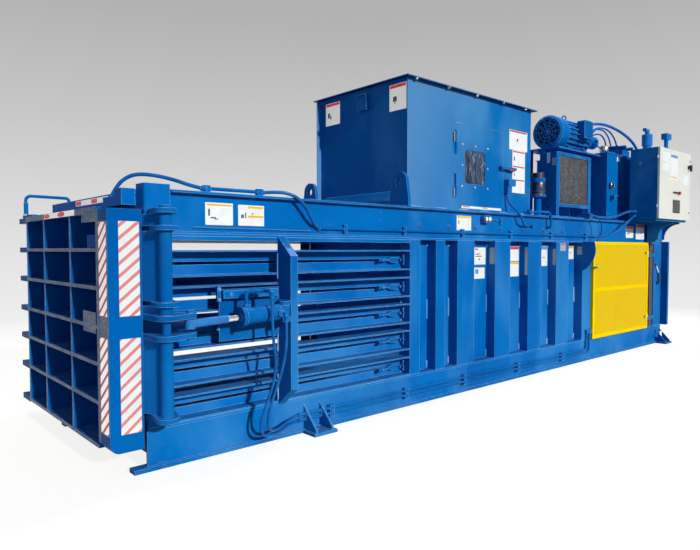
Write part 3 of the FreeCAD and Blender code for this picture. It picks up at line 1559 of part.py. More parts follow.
def hydraulic_pump():
    """A bell housing with the pump body and its two ports."""
    x0 = motor_x[1]
    centre = (x0, motor_y, motor_z)
    flange = disc(pump_flange_r, centre, X_AXIS, pump_flange)
    bell = disc(pump_bell_r, (x0 + pump_flange, motor_y, motor_z), X_AXIS, pump_bell)
    hollow = disc(pump_bell_r - tube_wall, (x0, motor_y, motor_z), X_AXIS,
                  pump_flange + pump_bell - tube_wall)
    body_x = x0 + pump_flange + pump_bell
    body = disc(pump_body_r, (body_x, motor_y, motor_z), X_AXIS, pump_length)
    cap = disc(pump_body_r - tube_wall, (body_x + pump_length, motor_y, motor_z), X_AXIS,
               2 * tube_wall)
    port_x = body_x + pump_length / 2
    port = disc(2 * port_r, (port_x, motor_y, motor_z), Z_AXIS, pump_body_r + 2 * port_block)
    side = disc(2 * port_r, (port_x, motor_y, motor_z), -Y_AXIS, pump_body_r + port_block)
    suction_x = suction_hose_route[0][0] - 2 * fitting_length + 2 * port_r
    suction_z = suction_hose_route[0][2] + port_r
    riser = disc(2 * port_r, (suction_x, motor_y, motor_z), Z_AXIS, suction_z - motor_z)
    sleeves = [hose_fitting("suction_hose", "first"), hose_fitting("pressure_hose", "first")]
    return fuse(fuse(flange, bell).cut(hollow), body, cap, port, side, riser, *sleeves)


def valve_manifold():
    """A ported block with two solenoid valves, and the tank's return flange."""
    block = box(*manifold_x, *manifold_y, lid_top, lid_top + manifold_height)
    parts = [block]
    top = lid_top + manifold_height
    face_y = manifold_y[0] + solenoid_inset
    for x in (manifold_x[0] + manifold_end, manifold_x[1] - manifold_end):
        body = box(x - solenoid_half, x + solenoid_half, face_y, manifold_y[1] - solenoid_inset, top,
                   top + solenoid_height)
        coil = disc(coil_r, (x, face_y, top + solenoid_height / 2 + 1), -Y_AXIS, coil_length)
        parts += [body, coil]
    x, y, z = pressure_hose_route[-1]
    parts.append(hose_fitting("pressure_hose", "last", fitting_short))
    parts.append(disc(2 * port_r, (x, y, lid_top + manifold_height), Z_AXIS, port_r))
    x, y, z = suction_hose_route[-1]
    flange = disc(fitting_length + port_r, (x, y, lid_top), Z_AXIS, port_r)
    suction = fuse(flange, hose_fitting("suction_hose", "last", fitting_short))
    return group([fuse(*parts), suction])


def return_filters():
    """Two canister filters in front of the stand, each on a flanged foot, bridged at the heads."""
    parts = []
    for y in filter_y:
        can = disc(filter_r, (filter_x, y, filter_z[0]), Z_AXIS, filter_z[1] - filter_z[0])
        head = disc(filter_r - tube_wall, (filter_x, y, filter_z[1]), Z_AXIS, filter_head)
        foot = disc(filter_r / 2, (filter_x, y, deck_top), Z_AXIS, filter_z[0] - deck_top)
        ring = disc(filter_flange[0], (filter_x, y, filter_z[0] - filter_flange[1]), Z_AXIS,
                    filter_flange[1])
        parts += [can, head, foot, ring]
    bridge = box(filter_x - filter_bridge, filter_x + filter_bridge, *filter_y,
                 filter_z[1] + filter_bridge, filter_z[1] + filter_head - filter_bridge / 2)
    return fuse(*parts, bridge)


def sight_gauge():
    return disc(gauge_r, (gauge_x, tank_y[0], gauge_z), -Y_AXIS, gauge_depth)


def drain_valve():
    y0 = tank_y[0]
    body = rod(valve_r, (valve_x, y0 + tank_sheet, valve_z), (valve_x, y0 - valve_reach, valve_z))
    stem_z = valve_z + valve_r
    half = valve_r + valve_skin
    end = y0 - valve_reach
    ball = box(valve_x - half, valve_x + half, end + valve_ball[0], end + valve_ball[1],
               valve_z - half, stem_z + valve_skin)
    return fuse(body, ball)


def drain_lever():
    """A flat lever on top of the valve; it swings in plan."""
    y = tank_y[0] - valve_reach + (valve_ball[0] + valve_ball[1]) / 2
    z = valve_z + valve_r + valve_skin + seat_gap
    hub = disc(valve_r - valve_skin, (valve_x, y, z), Z_AXIS, lever_thickness)
    arm = box(valve_x, valve_x + lever_length, y - valve_r / 2, y + valve_r / 2, z,
              z + lever_thickness)
    return fuse(hub, arm)


# ---------------------------------------------------------------- control enclosure

def enclosure_box():
    outer = box(*box_x, *box_y, *box_z)
    inner = box(box_x[0] + box_sheet, box_x[1] - box_sheet, box_y[0], box_y[1] - box_sheet,
                box_z[0] + box_sheet, box_z[1] - box_sheet)
    knuckles = [piece for piece, _, _ in enclosure_hinge_parts()[0]]
    leaves = [box(box_x[0] - box_hinge_offset, box_x[0], box_y[0], box_y[0] + box_hinge_length / 2,
                  z, z + box_hinge_length / 2) for z in box_hinge_z]
    glands = [hose_fitting(name, "last") for name in ("upper_cable", "lower_cable")]
    glands = [gland.cut(outer) for gland in glands]
    return fuse(outer.cut(inner), *knuckles, *leaves, *glands)


def enclosure_hinge_parts():
    spans = [(z, z + box_hinge_length) for z in box_hinge_z]
    return hinge_halves(box_x[0] - box_hinge_offset, box_y[0], spans, box_hinge_r, box_hinge_r / 2)


def enclosure_door():
    """A folded door with returned edges."""
    y1 = box_y[0] - seat_gap
    y0 = y1 - box_door_depth
    outer = box(box_x[0] + 1, box_x[1], y0, y1, *box_z)
    inner = box(box_x[0] + 1 + box_door_sheet, box_x[1] - box_door_sheet, y0 + box_door_sheet, y1,
                box_z[0] + box_door_sheet, box_z[1] - box_door_sheet)
    parts = []
    hinge_centre_x = box_x[0] - box_hinge_offset
    for knuckle, z0, z1 in enclosure_hinge_parts()[1]:
        leaf = box(hinge_centre_x, box_x[0] + 1 + box_door_sheet, y1 - box_hinge_r, y1 - 1, z0, z1)
        bore = disc(box_hinge_r / 2 + pin_clearance, (hinge_centre_x, box_y[0], z0), Z_AXIS, z1 - z0)
        parts.append(fuse(knuckle, leaf.cut(bore)))
    shape = fuse(outer.cut(inner), *parts)
    holes = [disc(button_r - 3, (x, y0, button_z), Y_AXIS, box_door_sheet) for x in button_x]
    holes.append(disc(button_r - 3, (stop_x, y0, button_z), Y_AXIS, box_door_sheet))
    holes.append(disc(lock_r + pin_clearance, (handle_x, y0, handle_z), Y_AXIS, box_door_sheet))
    for z in lock_z:
        holes.append(disc(lock_r + pin_clearance, (lock_x, y0, z), Y_AXIS, box_door_sheet))
    bezels = []
    for x in button_x + (stop_x,):
        bezel = disc(bezel_r, (x, y0, button_z), -Y_AXIS, bezel_height)
        bezels.append(bezel.cut(disc(button_r + seat_gap, (x, y0, button_z), -Y_AXIS, bezel_height)))
    return fuse(cut(shape, *holes), *bezels)


door_face_y = box_y[0] - seat_gap - box_door_depth


def push_button(x, radius, height):
    """A button head on a stem that passes through the door skin."""
    head_back = door_face_y - bezel_height
    stem = rod(button_r - 3 - seat_gap, (x, head_back, button_z),
               (x, door_face_y + box_door_sheet + button_travel, button_z))
    guide_end = head_back + bezel_height - button_travel - seat_gap
    guide = rod(button_r, (x, head_back - height, button_z), (x, guide_end, button_z))
    cap = rod(radius, (x, head_back - height, button_z),
              (x, head_back - button_travel - 1, button_z))
    return fuse(stem, guide, cap)


def disconnect_handle():
    """A rotary handle on its escutcheon plate's axis."""
    x, z = handle_x, handle_z
    y0 = door_face_y
    width, depth = handle_grip
    front = y0 - handle_hub
    stem = rod(lock_r, (x, front, z), (x, y0 + box_door_sheet, z))
    hub = rod(handle_plate / 2 - handle_lip, (x, front, z), (x, y0 - seat_gap, z))
    grip = box(x - width / 2, x + width / 2, front - depth, front, z - handle_length / 2,
               z + handle_length / 4)
    return fuse(stem, hub, round_edges(grip, handle_round, lambda edge: along_axis(edge, Y_AXIS)))


def door_locks():
    """Two quarter-turn locks with their inner cams."""
    locks = []
    y0 = door_face_y
    for z in lock_z:
        barrel = rod(lock_r, (lock_x, y0 - seat_gap, z),
                     (lock_x, y0 + box_door_sheet + lock_inside, z))
        head = rod(lock_r + lock_head[0], (lock_x, y0 - lock_head[1], z), (lock_x, y0 - seat_gap, z))
        locks.append(fuse(barrel, head))
    return locks


def panel_display():
    return box(*panel_x, door_face_y - panel_depth, door_face_y, *panel_z)


def enclosure_bracket():
    """A post on the beam with a shelf frame and two curved gussets under the enclosure."""
    px0, px1 = bracket_post_x
    py0, py1 = bracket_post_y
    top = box_z[0]
    shelf_z = top - bracket_frame
    post = square_tube(px0, px1, py0, py1, bracket_bottom_z, shelf_z, tube_wall)
    shelf = box(box_x[0] + 2 * tube_wall, box_x[1] - 2 * tube_wall, box_y[0] + tube_wall, py1,
                shelf_z, top)
    gussets = []
    tip = box_y[0] + tube_wall
    for x in (px0, px1 - bracket_gusset):
        plate = box(x, x + bracket_gusset, tip, py0, bracket_bottom_z + 2 * tube_wall, shelf_z)
        sweep = disc(gusset_curve_r, (x, py0 - gusset_curve_r - gusset_neck, shelf_z - gusset_neck
                                      - gusset_curve_r), X_AXIS, bracket_gusset)
        below = box(x, x + bracket_gusset, tip, py0 - gusset_neck, bracket_bottom_z,
                    shelf_z - gusset_neck - gusset_curve_r)
        gussets.append(cut(plate, sweep, below))
    return fuse(post, shelf, *gussets)


def enclosure_fittings():
    """A horn and a conduit head on the enclosure's roof."""
    top = box_z[1]
    x = horn_x[0]
    base = disc(horn_base[0], (x, horn_y, top), Z_AXIS, horn_base[1])
    bell_top = top + horn_base[1] + horn_bell[1]
    body = disc(horn_bell[0], (x, horn_y, top + horn_base[1]), Z_AXIS, horn_bell[1])
    neck = disc(horn_neck[0], (x, horn_y, bell_top), Z_AXIS, horn_neck[1])
    stub_z = bell_top + horn_neck[1] - horn_stub[0] / 2
    stub = rod(horn_stub[0], (x, horn_y, stub_z), (x - horn_stub[1], horn_y, stub_z))
    first = fuse(base, body, neck, stub)
    x = horn_x[1]
    stem = disc(head_stem[0], (x, horn_y, top), Z_AXIS, head_stem[1])
    head = box(x - head_half[0], x + head_half[0], horn_y - head_half[1], horn_y + head_half[1],
               top + head_stem[1], top + head_stem[1] + 2 * head_half[2])
    collar = disc(head_collar[0], (x, horn_y, top), Z_AXIS, head_collar[1])
    second = fuse(stem, head, collar)
    return group([first, second])


# ---------------------------------------------------------------- pipes and conduits

def hydraulic_pipes():
    """Two pipes along the base that turn up at the rear and end in the ribbed wall."""
    pipes = []
    for z, rise in zip(pipe_z, reversed(pipe_rise_x)):
        points = [(pipe_x[0], pipe_y, z), (rise, pipe_y, z), (rise, pipe_y, pipe_top_z)]
        pipes.append(bent_tube(points, [pipe_bend], pipe_r))
    ends = [hose_fitting(name, "last", sleeve_short) for name in ("door_hose_front", "door_hose_rear")]
    return group([fuse(pipe, end) for pipe, end in zip(pipes, ends)])


def pipe_clamps():
    """Two-hole blocks that hold the pipes on the rail."""
    clamps = []
    for x in clamp_x:
        block = box(x - clamp_width / 2, x + clamp_width / 2, pipe_y - pipe_r - clamp_skin / 2,
                    -web_outer, pipe_z[0] - pipe_r - clamp_skin, pipe_z[1] + pipe_r + clamp_skin)
        holes = [rod(pipe_r, (x - clamp_width, pipe_y, z), (x + clamp_width, pipe_y, z))
                 for z in pipe_z]
        clamps.append(cut(block, *holes))
    for rise in pipe_rise_x:
        z0 = pipe_top_z - 3 * clamp_skin
        block = box(rise - pipe_r - clamp_skin, rise + pipe_r + clamp_skin,
                    pipe_y - pipe_r - clamp_skin / 2, -half_width, z0, pipe_top_z + clamp_skin)
        hole = disc(pipe_r, (rise, pipe_y, z0), Z_AXIS, pipe_top_z - z0)
        clamps.append(block.cut(hole))
    return group(clamps)


def cable_conduit():
    """A conduit along the beam web with saddle clamps."""
    y = -half_width + beam_web_recess - conduit_r - conduit_standoff
    tube = rod(conduit_r, (conduit_x[0], y, conduit_z), (conduit_x[1], y, conduit_z))
    saddles = []
    for x in conduit_clamp_x:
        saddle = box(x - clamp_width / 3, x + clamp_width / 3, y - conduit_r - conduit_standoff,
                     y + conduit_r + conduit_standoff, conduit_z - 3 * conduit_r,
                     conduit_z + 3 * conduit_r)
        saddles.append(saddle)
    ends = [hose_fitting("beam_hose", "last", sleeve_short),
            hose_fitting("lower_cable", "first", sleeve_short)]
    beam = top_beam()
    return fuse(tube, *saddles, *[end.cut(beam) for end in ends])


def sensor_pipe():
    """A rigid line from the header over the door's top corner to the closed-door sensor."""
    sensor = box(*sensor_x, *sensor_y, *sensor_z)
    foot = disc(2 * sensor_line_r, sensor_line[-1], Z_AXIS, sensor_line_r)
    return fuse(bent_tube(sensor_line, sensor_bends, sensor_line_r), sensor, foot)


def filter_pipe():
    """The line from the filters, over the deck's edge and into the beam's web."""
    x, y, z = filter_line[0]
    clip = box(x, x + clamp_width, y - clamp_width / 2, y + clamp_width / 2, beam_top,
               z + 2 * filter_line_r)
    return fuse(bent_tube(filter_line, filter_bends, filter_line_r), clip)


def fitting(point, towards, radius, length):
    """A sleeve whose face meets the end of a hose."""
    outward = (Vec(*towards) - Vec(*point)).normalize()
    return Part.makeCylinder(radius + fitting_wall, length, Vec(*point) - outward * length, outward)


def hose_fitting(name, end, length=fitting_length):
    """The sleeve at the first or last end of a named hose."""
    diameter, route = hoses[name]
    ends = {"first": (route[0], route[1]), "last": (route[-1], route[-2])}[end]
    return fitting(*ends, diameter / 2, length)


def beam_fittings():
    """The blocks on the beam that the two upper hoses end in, and the deck's hose outlet."""
    front = header_hose_route[-1]
    rear = beam_hose_route[0]
    blocks = []
    for x, y, z in (front, rear):
        ahead = fitting_length if (x, y, z) == front else -fitting_length
        x0, x1 = sorted((x + ahead / 2, x + 3 * ahead / 2))
        blocks.append(box(x0, x1, y - fitting_length / 2, y + fitting_length / 2, beam_top,
                          z + fitting_length / 2))
    start = (front[0] + fitting_length, front[1], front[2])
    end = (rear[0] - fitting_length, rear[1], rear[2])
    link = rod(port_r, start, end)
    sleeves = [hose_fitting("header_hose", "last"), hose_fitting("beam_hose", "first")]
    outlets = []
    for route in (deck_hose_route, upper_cable_route):
        x, y, z = route[0]
        outlets.append(box(x - 2 * fitting_length, x - fitting_length / 2, y - fitting_length / 2,
                           -half_width + fitting_length, deck_top, z + fitting_length / 2))
    outlet_sleeves = [hose_fitting("deck_hose", "first"), hose_fitting("upper_cable", "first")]
    x, y, z = switch_cable_route[-1]
    inlet = box(x + fitting_length / 2, x + 3 * fitting_length / 2, y - fitting_length / 2,
                -half_width + beam_web_recess, z - fitting_length / 2, z + fitting_length / 2)
    sleeve = hose_fitting("switch_cable", "last").cut(top_beam())
    return [fuse(link, *blocks, *sleeves), fuse(outlets[0], outlet_sleeves[0]),
            fuse(outlets[1], outlet_sleeves[1]), fuse(inlet, sleeve)]


def header_valves():
    """Valve blocks on the front of the header, above the door."""
    block = box(*valve_block_x, *valve_block_y, *valve_block_z)
    step = box(*valve_block_x, *valve_step_y, *valve_step_z)
    return fuse(block, step, hose_fitting("header_hose", "first"))


def hose_bracket():
    """A plate with a curved lower edge that carries the hoses past the guard."""
    z0, z1 = hose_bracket_z
    x0, x1 = hose_bracket_x
    reach = -half_width - hose_bracket_reach
    inset, lift = hose_bracket_bulge
    bulge = Vec(x0, reach + inset * hose_bracket_reach, (z0 + z1) / 2 + lift)
    edges = [
        Part.LineSegment(Vec(x0, -half_width, z0), Vec(x0, -half_width, z1)).toShape(),
        Part.LineSegment(Vec(x0, -half_width, z1), Vec(x0, reach + hose_bracket_corner, z1)).toShape(),
        Part.Arc(Vec(x0, reach + hose_bracket_corner, z1), bulge, Vec(x0, -half_width, z0)).toShape(),
    ]
    return Part.Face(Part.Wire(edges)).extrude(X_AXIS * (x1 - x0))


def hose(name):
    """A free hose or cable along its route."""
    diameter, route = hoses[name]
    radii = hose_radii(route)
    print(name, "diameter", diameter, "arc radii", [round(radius) for radius in radii])
    return bent_tube(route, radii, diameter / 2)


# ---------------------------------------------------------------- the part

def body_nodes():
    """Everything that stands still."""
    slats = side_slats()
    ribs = [rib(span) for span in rib_spans]
    return {
        "base_frame": group([*base_rails().Solids, *cross_members().Solids, floor()]),
        "anchor_feet": anchor_feet(),
        "front_frame": group([front_post(), lock_post(), front_header(), header_valves()]),
        "side_slats": group(slats + [far_side(angle) for angle in slats]),
        "wall_ribs": group(ribs + [far_side(shape) for shape in ribs] + [bay_post(), hose_bracket()]),
        "chamber_plates": group(both_sides(wall_panel()) + roof_plates().Solids + [shear_blades()]
                                + hopper_throat()),
        "wire_guides": group([wire_guide(z) for z in slot_centres]),
        "top_beams": group(both_sides(top_beam()) + [rear_deck()]),
        "rear_frame": group(both_sides(rear_post()) + [*wear_strip().Solids, rear_end_plate()]
                            + guard_hinges().Solids),
        "hopper_shell": hopper_shell(),
        "lifting_lugs": group(both_sides(lifting_lug())),
        "hopper_fittings": group([fender(), eye_box(), switch_box(), beam_lamp(),
                                  *man_door_hinges().Solids]),
        "hinge_brackets": group(hinge_brackets().Solids + [hinge_pin()]),
        "cylinder_anchor": cylinder_anchor(),
        "lock_guides": lock_guides(),
        "main_cylinder": main_cylinder(),
        "oil_tank": group([oil_tank(), tank_lid_plate(), sight_gauge(), drain_valve()]),
        "oil_cooler": group([oil_cooler(), *motor_stand()]),
        "cooler_core": cooler_core(),
        "motor_housing": group([motor_housing(), junction_box(), fan_cover()]),
        "hydraulic_pump": hydraulic_pump(),
        "valve_manifold": valve_manifold(),
        "return_filters": return_filters(),
        "enclosure_box": enclosure_box(),
        "enclosure_bracket": group([enclosure_bracket(), *enclosure_fittings().Solids]),
        "rigid_pipes": group([*hydraulic_pipes().Solids, *pipe_clamps().Solids, cable_conduit(),
                              sensor_pipe(), filter_pipe(), *beam_fittings()]),
    }


def moving_nodes():
    """Everything that turns or slides."""
    locks = door_locks()
    nodes = {
        "man_door": man_door(),
        "man_door_window": man_door_window(),
        "man_door_latch": man_door_latch(),
        "door_grid": group([*door_grid().Solids, *door_lock_lugs().Solids]),
        "door_column": door_column(),
        "door_hinge_barrels": group([door_hinge_barrels(), *crank_pin_caps().Solids]),
        "door_cylinder_barrel": door_cylinder_barrel(),
        "door_cylinder_rod": door_cylinder_rod(),
        "door_lock_bar": door_lock_bar(),
        "ram_body": group([ram_platen(), ram_box()]),
        "ram_rod": ram_rod(),
        "guard_frame": guard_frame(),
        "guard_mesh": guard_mesh_panel(),
        "guard_latch": guard_latch_handle(),
        "motor_rotor": motor_rotor(),
        "drain_lever": drain_lever(),
        "enclosure_door": group([enclosure_door(), panel_display()]),
        "disconnect_handle": disconnect_handle(),
        "door_lock_upper": locks[1],
        "door_lock_lower": locks[0],
        "stop_button": push_button(stop_x, stop_r, 2 * button_height),
    }
    for i, x in enumerate(button_x):
        nodes[f"push_button_{i + 1}"] = push_button(x, button_r, button_height)
    return nodes


def main():
    os.makedirs("parts", exist_ok=True)
    nodes = {**body_nodes(), **moving_nodes(), **{name: hose(name) for name in hoses}}
    for name, shape in nodes.items():
        shape.exportStep(f"parts/{name}.step")


main()
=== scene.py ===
import bpy
import bmesh
import random
from math import cos, pi, radians, sin
from mathutils import Matrix, Vector


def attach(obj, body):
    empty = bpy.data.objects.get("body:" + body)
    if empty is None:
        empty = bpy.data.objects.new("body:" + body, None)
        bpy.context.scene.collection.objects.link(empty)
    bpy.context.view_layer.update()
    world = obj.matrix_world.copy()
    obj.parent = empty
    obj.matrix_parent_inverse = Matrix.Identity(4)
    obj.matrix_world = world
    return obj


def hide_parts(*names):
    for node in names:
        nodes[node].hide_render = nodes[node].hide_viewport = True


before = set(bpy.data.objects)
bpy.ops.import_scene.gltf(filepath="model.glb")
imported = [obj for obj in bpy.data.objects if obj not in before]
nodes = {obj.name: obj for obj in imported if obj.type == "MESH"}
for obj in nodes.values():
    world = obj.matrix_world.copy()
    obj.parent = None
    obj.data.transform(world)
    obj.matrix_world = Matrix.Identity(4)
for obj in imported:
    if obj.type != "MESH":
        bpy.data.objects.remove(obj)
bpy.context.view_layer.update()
scene = bpy.context.scene
MM = 0.001


def add_object(name, data):
    """Puts the data into the scene as an object."""
    made = bpy.data.objects.new(name, data)
    scene.collection.objects.link(made)
    return made


# ---- camera, 1.2 m above the floor

camera_data = bpy.data.cameras.new("camera")
camera_data.lens = 30.793
camera_data.sensor_width = 36.0
camera_data.clip_end = 200.0
camera = add_object("camera", camera_data)
camera.matrix_world = Matrix((
    (0.74535, 0.02803, -0.66608, -5.3016),
    (-0.66667, 0.03085, -0.74471, -3.732),
    (-0.00033, 0.99913, 0.04168, 1.2),
    (0, 0, 0, 1),
))
scene.camera = camera

# ---- hoses and cables: diameter and route, in millimetres

routes = {
    "door_hose_front": (18, (
        (-3328, -845, 925), (-3330, -850, 800), (-3318, -846, 660), (-3290, -832, 530),
        (-3300, -815, 400), (-3345, -795, 270), (-3368, -770, 150), (-3310, -735, 72),
        (-3175, -690, 62), (-3065, -650, 88), (-2975, -633, 90))),
    "door_hose_rear": (18, (
        (-3230, -850, 780), (-3228, -852, 660), (-3246, -850, 540), (-3285, -845, 420),
        (-3330, -830, 290), (-3335, -800, 175), (-3280, -755, 105), (-3165, -700, 98),
        (-3065, -655, 118), (-2975, -633, 126))),
    "header_hose": (22, (
        (-4035, -290, 1508), (-4012, -310, 1566), (-3972, -343, 1612), (-3925, -382, 1632),
        (-3850, -440, 1626), (-3760, -500, 1602), (-3690, -548, 1572), (-3636, -584, 1556))),
    "beam_hose": (22, (
        (-3215, -600, 1556), (-3150, -606, 1562), (-3070, -634, 1562), (-2995, -660, 1532),
        (-2935, -668, 1470), (-2885, -655, 1405), (-2842, -630, 1366), (-2795, -613, 1346))),
    "suction_hose": (34, (
        (1640, -252, 2696), (1780, -260, 2722), (1940, -285, 2736), (2110, -325, 2712),
        (2270, -365, 2666), (2420, -400, 2600), (2530, -425, 2520), (2586, -436, 2444),
        (2606, -440, 2376))),
    "pressure_hose": (20, (
        (1690, -262, 2606), (1721, -271, 2641), (1770, -284, 2665), (1850, -304, 2677),
        (1945, -326, 2669), (2030, -342, 2631), (2097, -352, 2573), (2140, -358, 2510),
        (2158, -360, 2462))),
    "deck_hose": (18, (
        (900, -668, 1570), (962, -690, 1560), (1012, -712, 1522), (1036, -724, 1460),
        (1034, -722, 1392), (1012, -706, 1334), (984, -694, 1292))),
    "upper_cable": (24, (
        (965, -634, 1574), (1070, -640, 1562), (1200, -650, 1557), (1350, -664, 1563),
        (1505, -680, 1585), (1640, -694, 1624), (1758, -704, 1647), (1860, -706, 1650))),
    "lower_cable": (20, (
        (1110, -613, 1345), (1220, -622, 1352), (1340, -640, 1372), (1480, -660, 1402),
        (1610, -680, 1450), (1710, -695, 1510), (1790, -705, 1565), (1862, -706, 1590))),
    "switch_cable": (18, (
        (-512, -556, 1728), (-512, -556, 1690), (-510, -566, 1650), (-500, -592, 1606),
        (-482, -640, 1562), (-452, -666, 1515), (-415, -664, 1465), (-360, -644, 1432),
        (-280, -624, 1426), (-205, -613, 1436))),
}

cords = {}
for name, (diameter, points) in routes.items():
    data = bpy.data.curves.new(name + "_line", "CURVE")
    data.dimensions = "3D"
    data.resolution_u = 10
    data.bevel_depth = diameter * MM / 2
    data.bevel_resolution = 5
    data.use_fill_caps = True
    spline = data.splines.new("NURBS")
    spline.points.add(len(points) - 1)
    for point, place in zip(spline.points, points):
        point.co = (*[c * MM for c in place], 1.0)
    spline.order_u = 3
    spline.use_endpoint_u = True
    cords[name] = add_object(name + "_tube", data)

# ---- shader nodes


class Nodes:
    """Builds one shader tree. A call to node gives the node back, the rest an output."""

    def __init__(self, tree):
        self.tree = tree

    def put(self, socket, value):
        """Links an output to the socket, or sets a constant on it."""
        if isinstance(value, bpy.types.NodeSocket):
            self.tree.links.new(value, socket)
        else:
            socket.default_value = value

    def node(self, kind, inputs=None, **settings):
        made = self.tree.nodes.new("ShaderNode" + kind)
        for key, value in settings.items():
            setattr(made, key, value)
        for key, value in (inputs or {}).items():
            self.put(made.inputs[key], value)
        return made

    def ramp(self, value, low, high, start=0.0, end=1.0):
        return self.node("MapRange", {"Value": value, "From Min": low, "From Max": high,
                                      "To Min": start, "To Max": end}).outputs[0]

    def math(self, operation, a, b=0.0):
        return self.node("Math", {0: a, 1: b}, operation=operation).outputs[0]

    def times(self, a, b):
        return self.math("MULTIPLY", a, b)

    def plus(self, a, b):
        return self.math("ADD", a, b)

    def mix(self, share, a, b):
        return self.node("Mix", {0: share, 6: a, 7: b}, data_type="RGBA").outputs[2]

    def seen(self):
        """One for the rays that show the background, zero for those that light the object."""
        path = self.node("LightPath")
        share = path.outputs["Is Camera Ray"]
        for kind in ("Is Glossy Ray", "Is Transmission Ray"):
            share = self.math("MAXIMUM", share, path.outputs[kind])
        return share


class Look(Nodes):
    """A material over the object's own coordinates, in metres."""

    sockets = {"rough": "Roughness", "metal": "Metallic", "coat": "Coat Weight", "alpha": "Alpha",
               "coat_rough": "Coat Roughness", "specular": "Specular IOR Level"}

    def __init__(self, name):
        self.material = bpy.data.materials.new(name)
        self.material.use_nodes = True
        super().__init__(self.material.node_tree)
        self.shader = self.tree.nodes["Principled BSDF"]
        self.place = self.node("TexCoord").outputs["Object"]

    def noise(self, scale, detail=3.0, rough=0.5, stretch=(1, 1, 1), warp=0.0):
        place = self.place
        if stretch != (1, 1, 1):
            place = self.node("Mapping", {"Vector": place, "Scale": stretch}).outputs[0]
        return self.node("TexNoise", {"Vector": place, "Scale": scale, "Detail": detail,
                                      "Roughness": rough, "Distortion": warp}).outputs["Fac"]

    def tones(self, scale, detail, dark, light, low=0.3, high=0.7):
        """Two colours in soft clouds."""
        return self.mix(self.ramp(self.noise(scale, detail), low, high), dark, light)

    def blots(self, scale, detail, rough, low, high, most):
        """Zero between the blots, and most at their middles."""
        return self.ramp(self.noise(scale, detail, rough), low, high, 0.0, most)

    def axis(self, index):
        return self.node("SeparateXYZ", {0: self.place}).outputs[index]

    def facing(self, index):
        geometry = self.node("NewGeometry")
        return self.node("SeparateXYZ", {0: geometry.outputs["Normal"]}).outputs[index]

    def inside(self, *spans):
        """One where every (axis, low, high) holds, in metres."""
        share = 1.0
        for index, low, high in spans:
            place = self.axis(index)
            share = self.times(share, self.math("GREATER_THAN", place, low))
            share = self.times(share, self.math("LESS_THAN", place, high))
        return share

    def stripes(self, across, slope):
        """Slanted stripes of the reflective tape: they fall by slope for each metre across."""
        rise = self.plus(self.axis(2), self.times(self.axis(across), slope))
        return self.math("LESS_THAN", self.math("FRACT", self.math("DIVIDE", rise, stripe_period)),
                         stripe_share)

    def edges(self, radius=0.004):
        """One along the rounded edges of plate: the mask for painted highlights, as if the enamel caught
        the light there.
        """
        bevel = self.node("Bevel", {"Radius": radius}, samples=4).outputs[0]
        flat = self.node("NewGeometry").outputs["Normal"]
        level = self.node("VectorMath", {0: bevel, 1: flat}, operation="DOT_PRODUCT").outputs["Value"]
        return self.ramp(level, 0.985, 0.90)

    def bump(self, *layers):
        """Layers are (height, strength, distance), one over the other."""
        normal = None
        for height, strength, distance in layers:
            inputs = {"Height": height, "Strength": strength, "Distance": distance}
            if normal is not None:
                inputs["Normal"] = normal
            normal = self.node("Bump", inputs).outputs[0]
        self.put(self.shader.inputs["Normal"], normal)

    def cover(self, share, tint):
        """Lays a colour over the look's own colour."""
        self.color = self.mix(share, self.color, tint)

    def set(self, **values):
        self.put(self.shader.inputs["Base Color"], self.color)
        for key, value in values.items():
            self.put(self.shader.inputs[self.sockets[key]], value)
        return self.material


def rgb(r, g, b):
    """A display colour, 0 to 255, as the linear colour that a shader takes."""
    def linear(c):
        c /= 255.0
        return c / 12.92 if c <= 0.04045 else ((c + 0.055) / 1.055) ** 2.4
    return (linear(r), linear(g), linear(b), 1.0)


# ---- materials

low_shine = 0.004           # with more, the shaded faces mirror the pale floor
# Colour of the painted highlights along the rounded edges of plate
edge_highlight = rgb(130, 190, 232)
stripe_period = 0.0655      # metres from one red stripe to the next, measured upwards
stripe_share = 0.34         # the part of it that is red
lip_height = 2.537          # underside of the hopper's lip, in metres
door_front = -4.184         # the door's front edges lie ahead of this, in metres


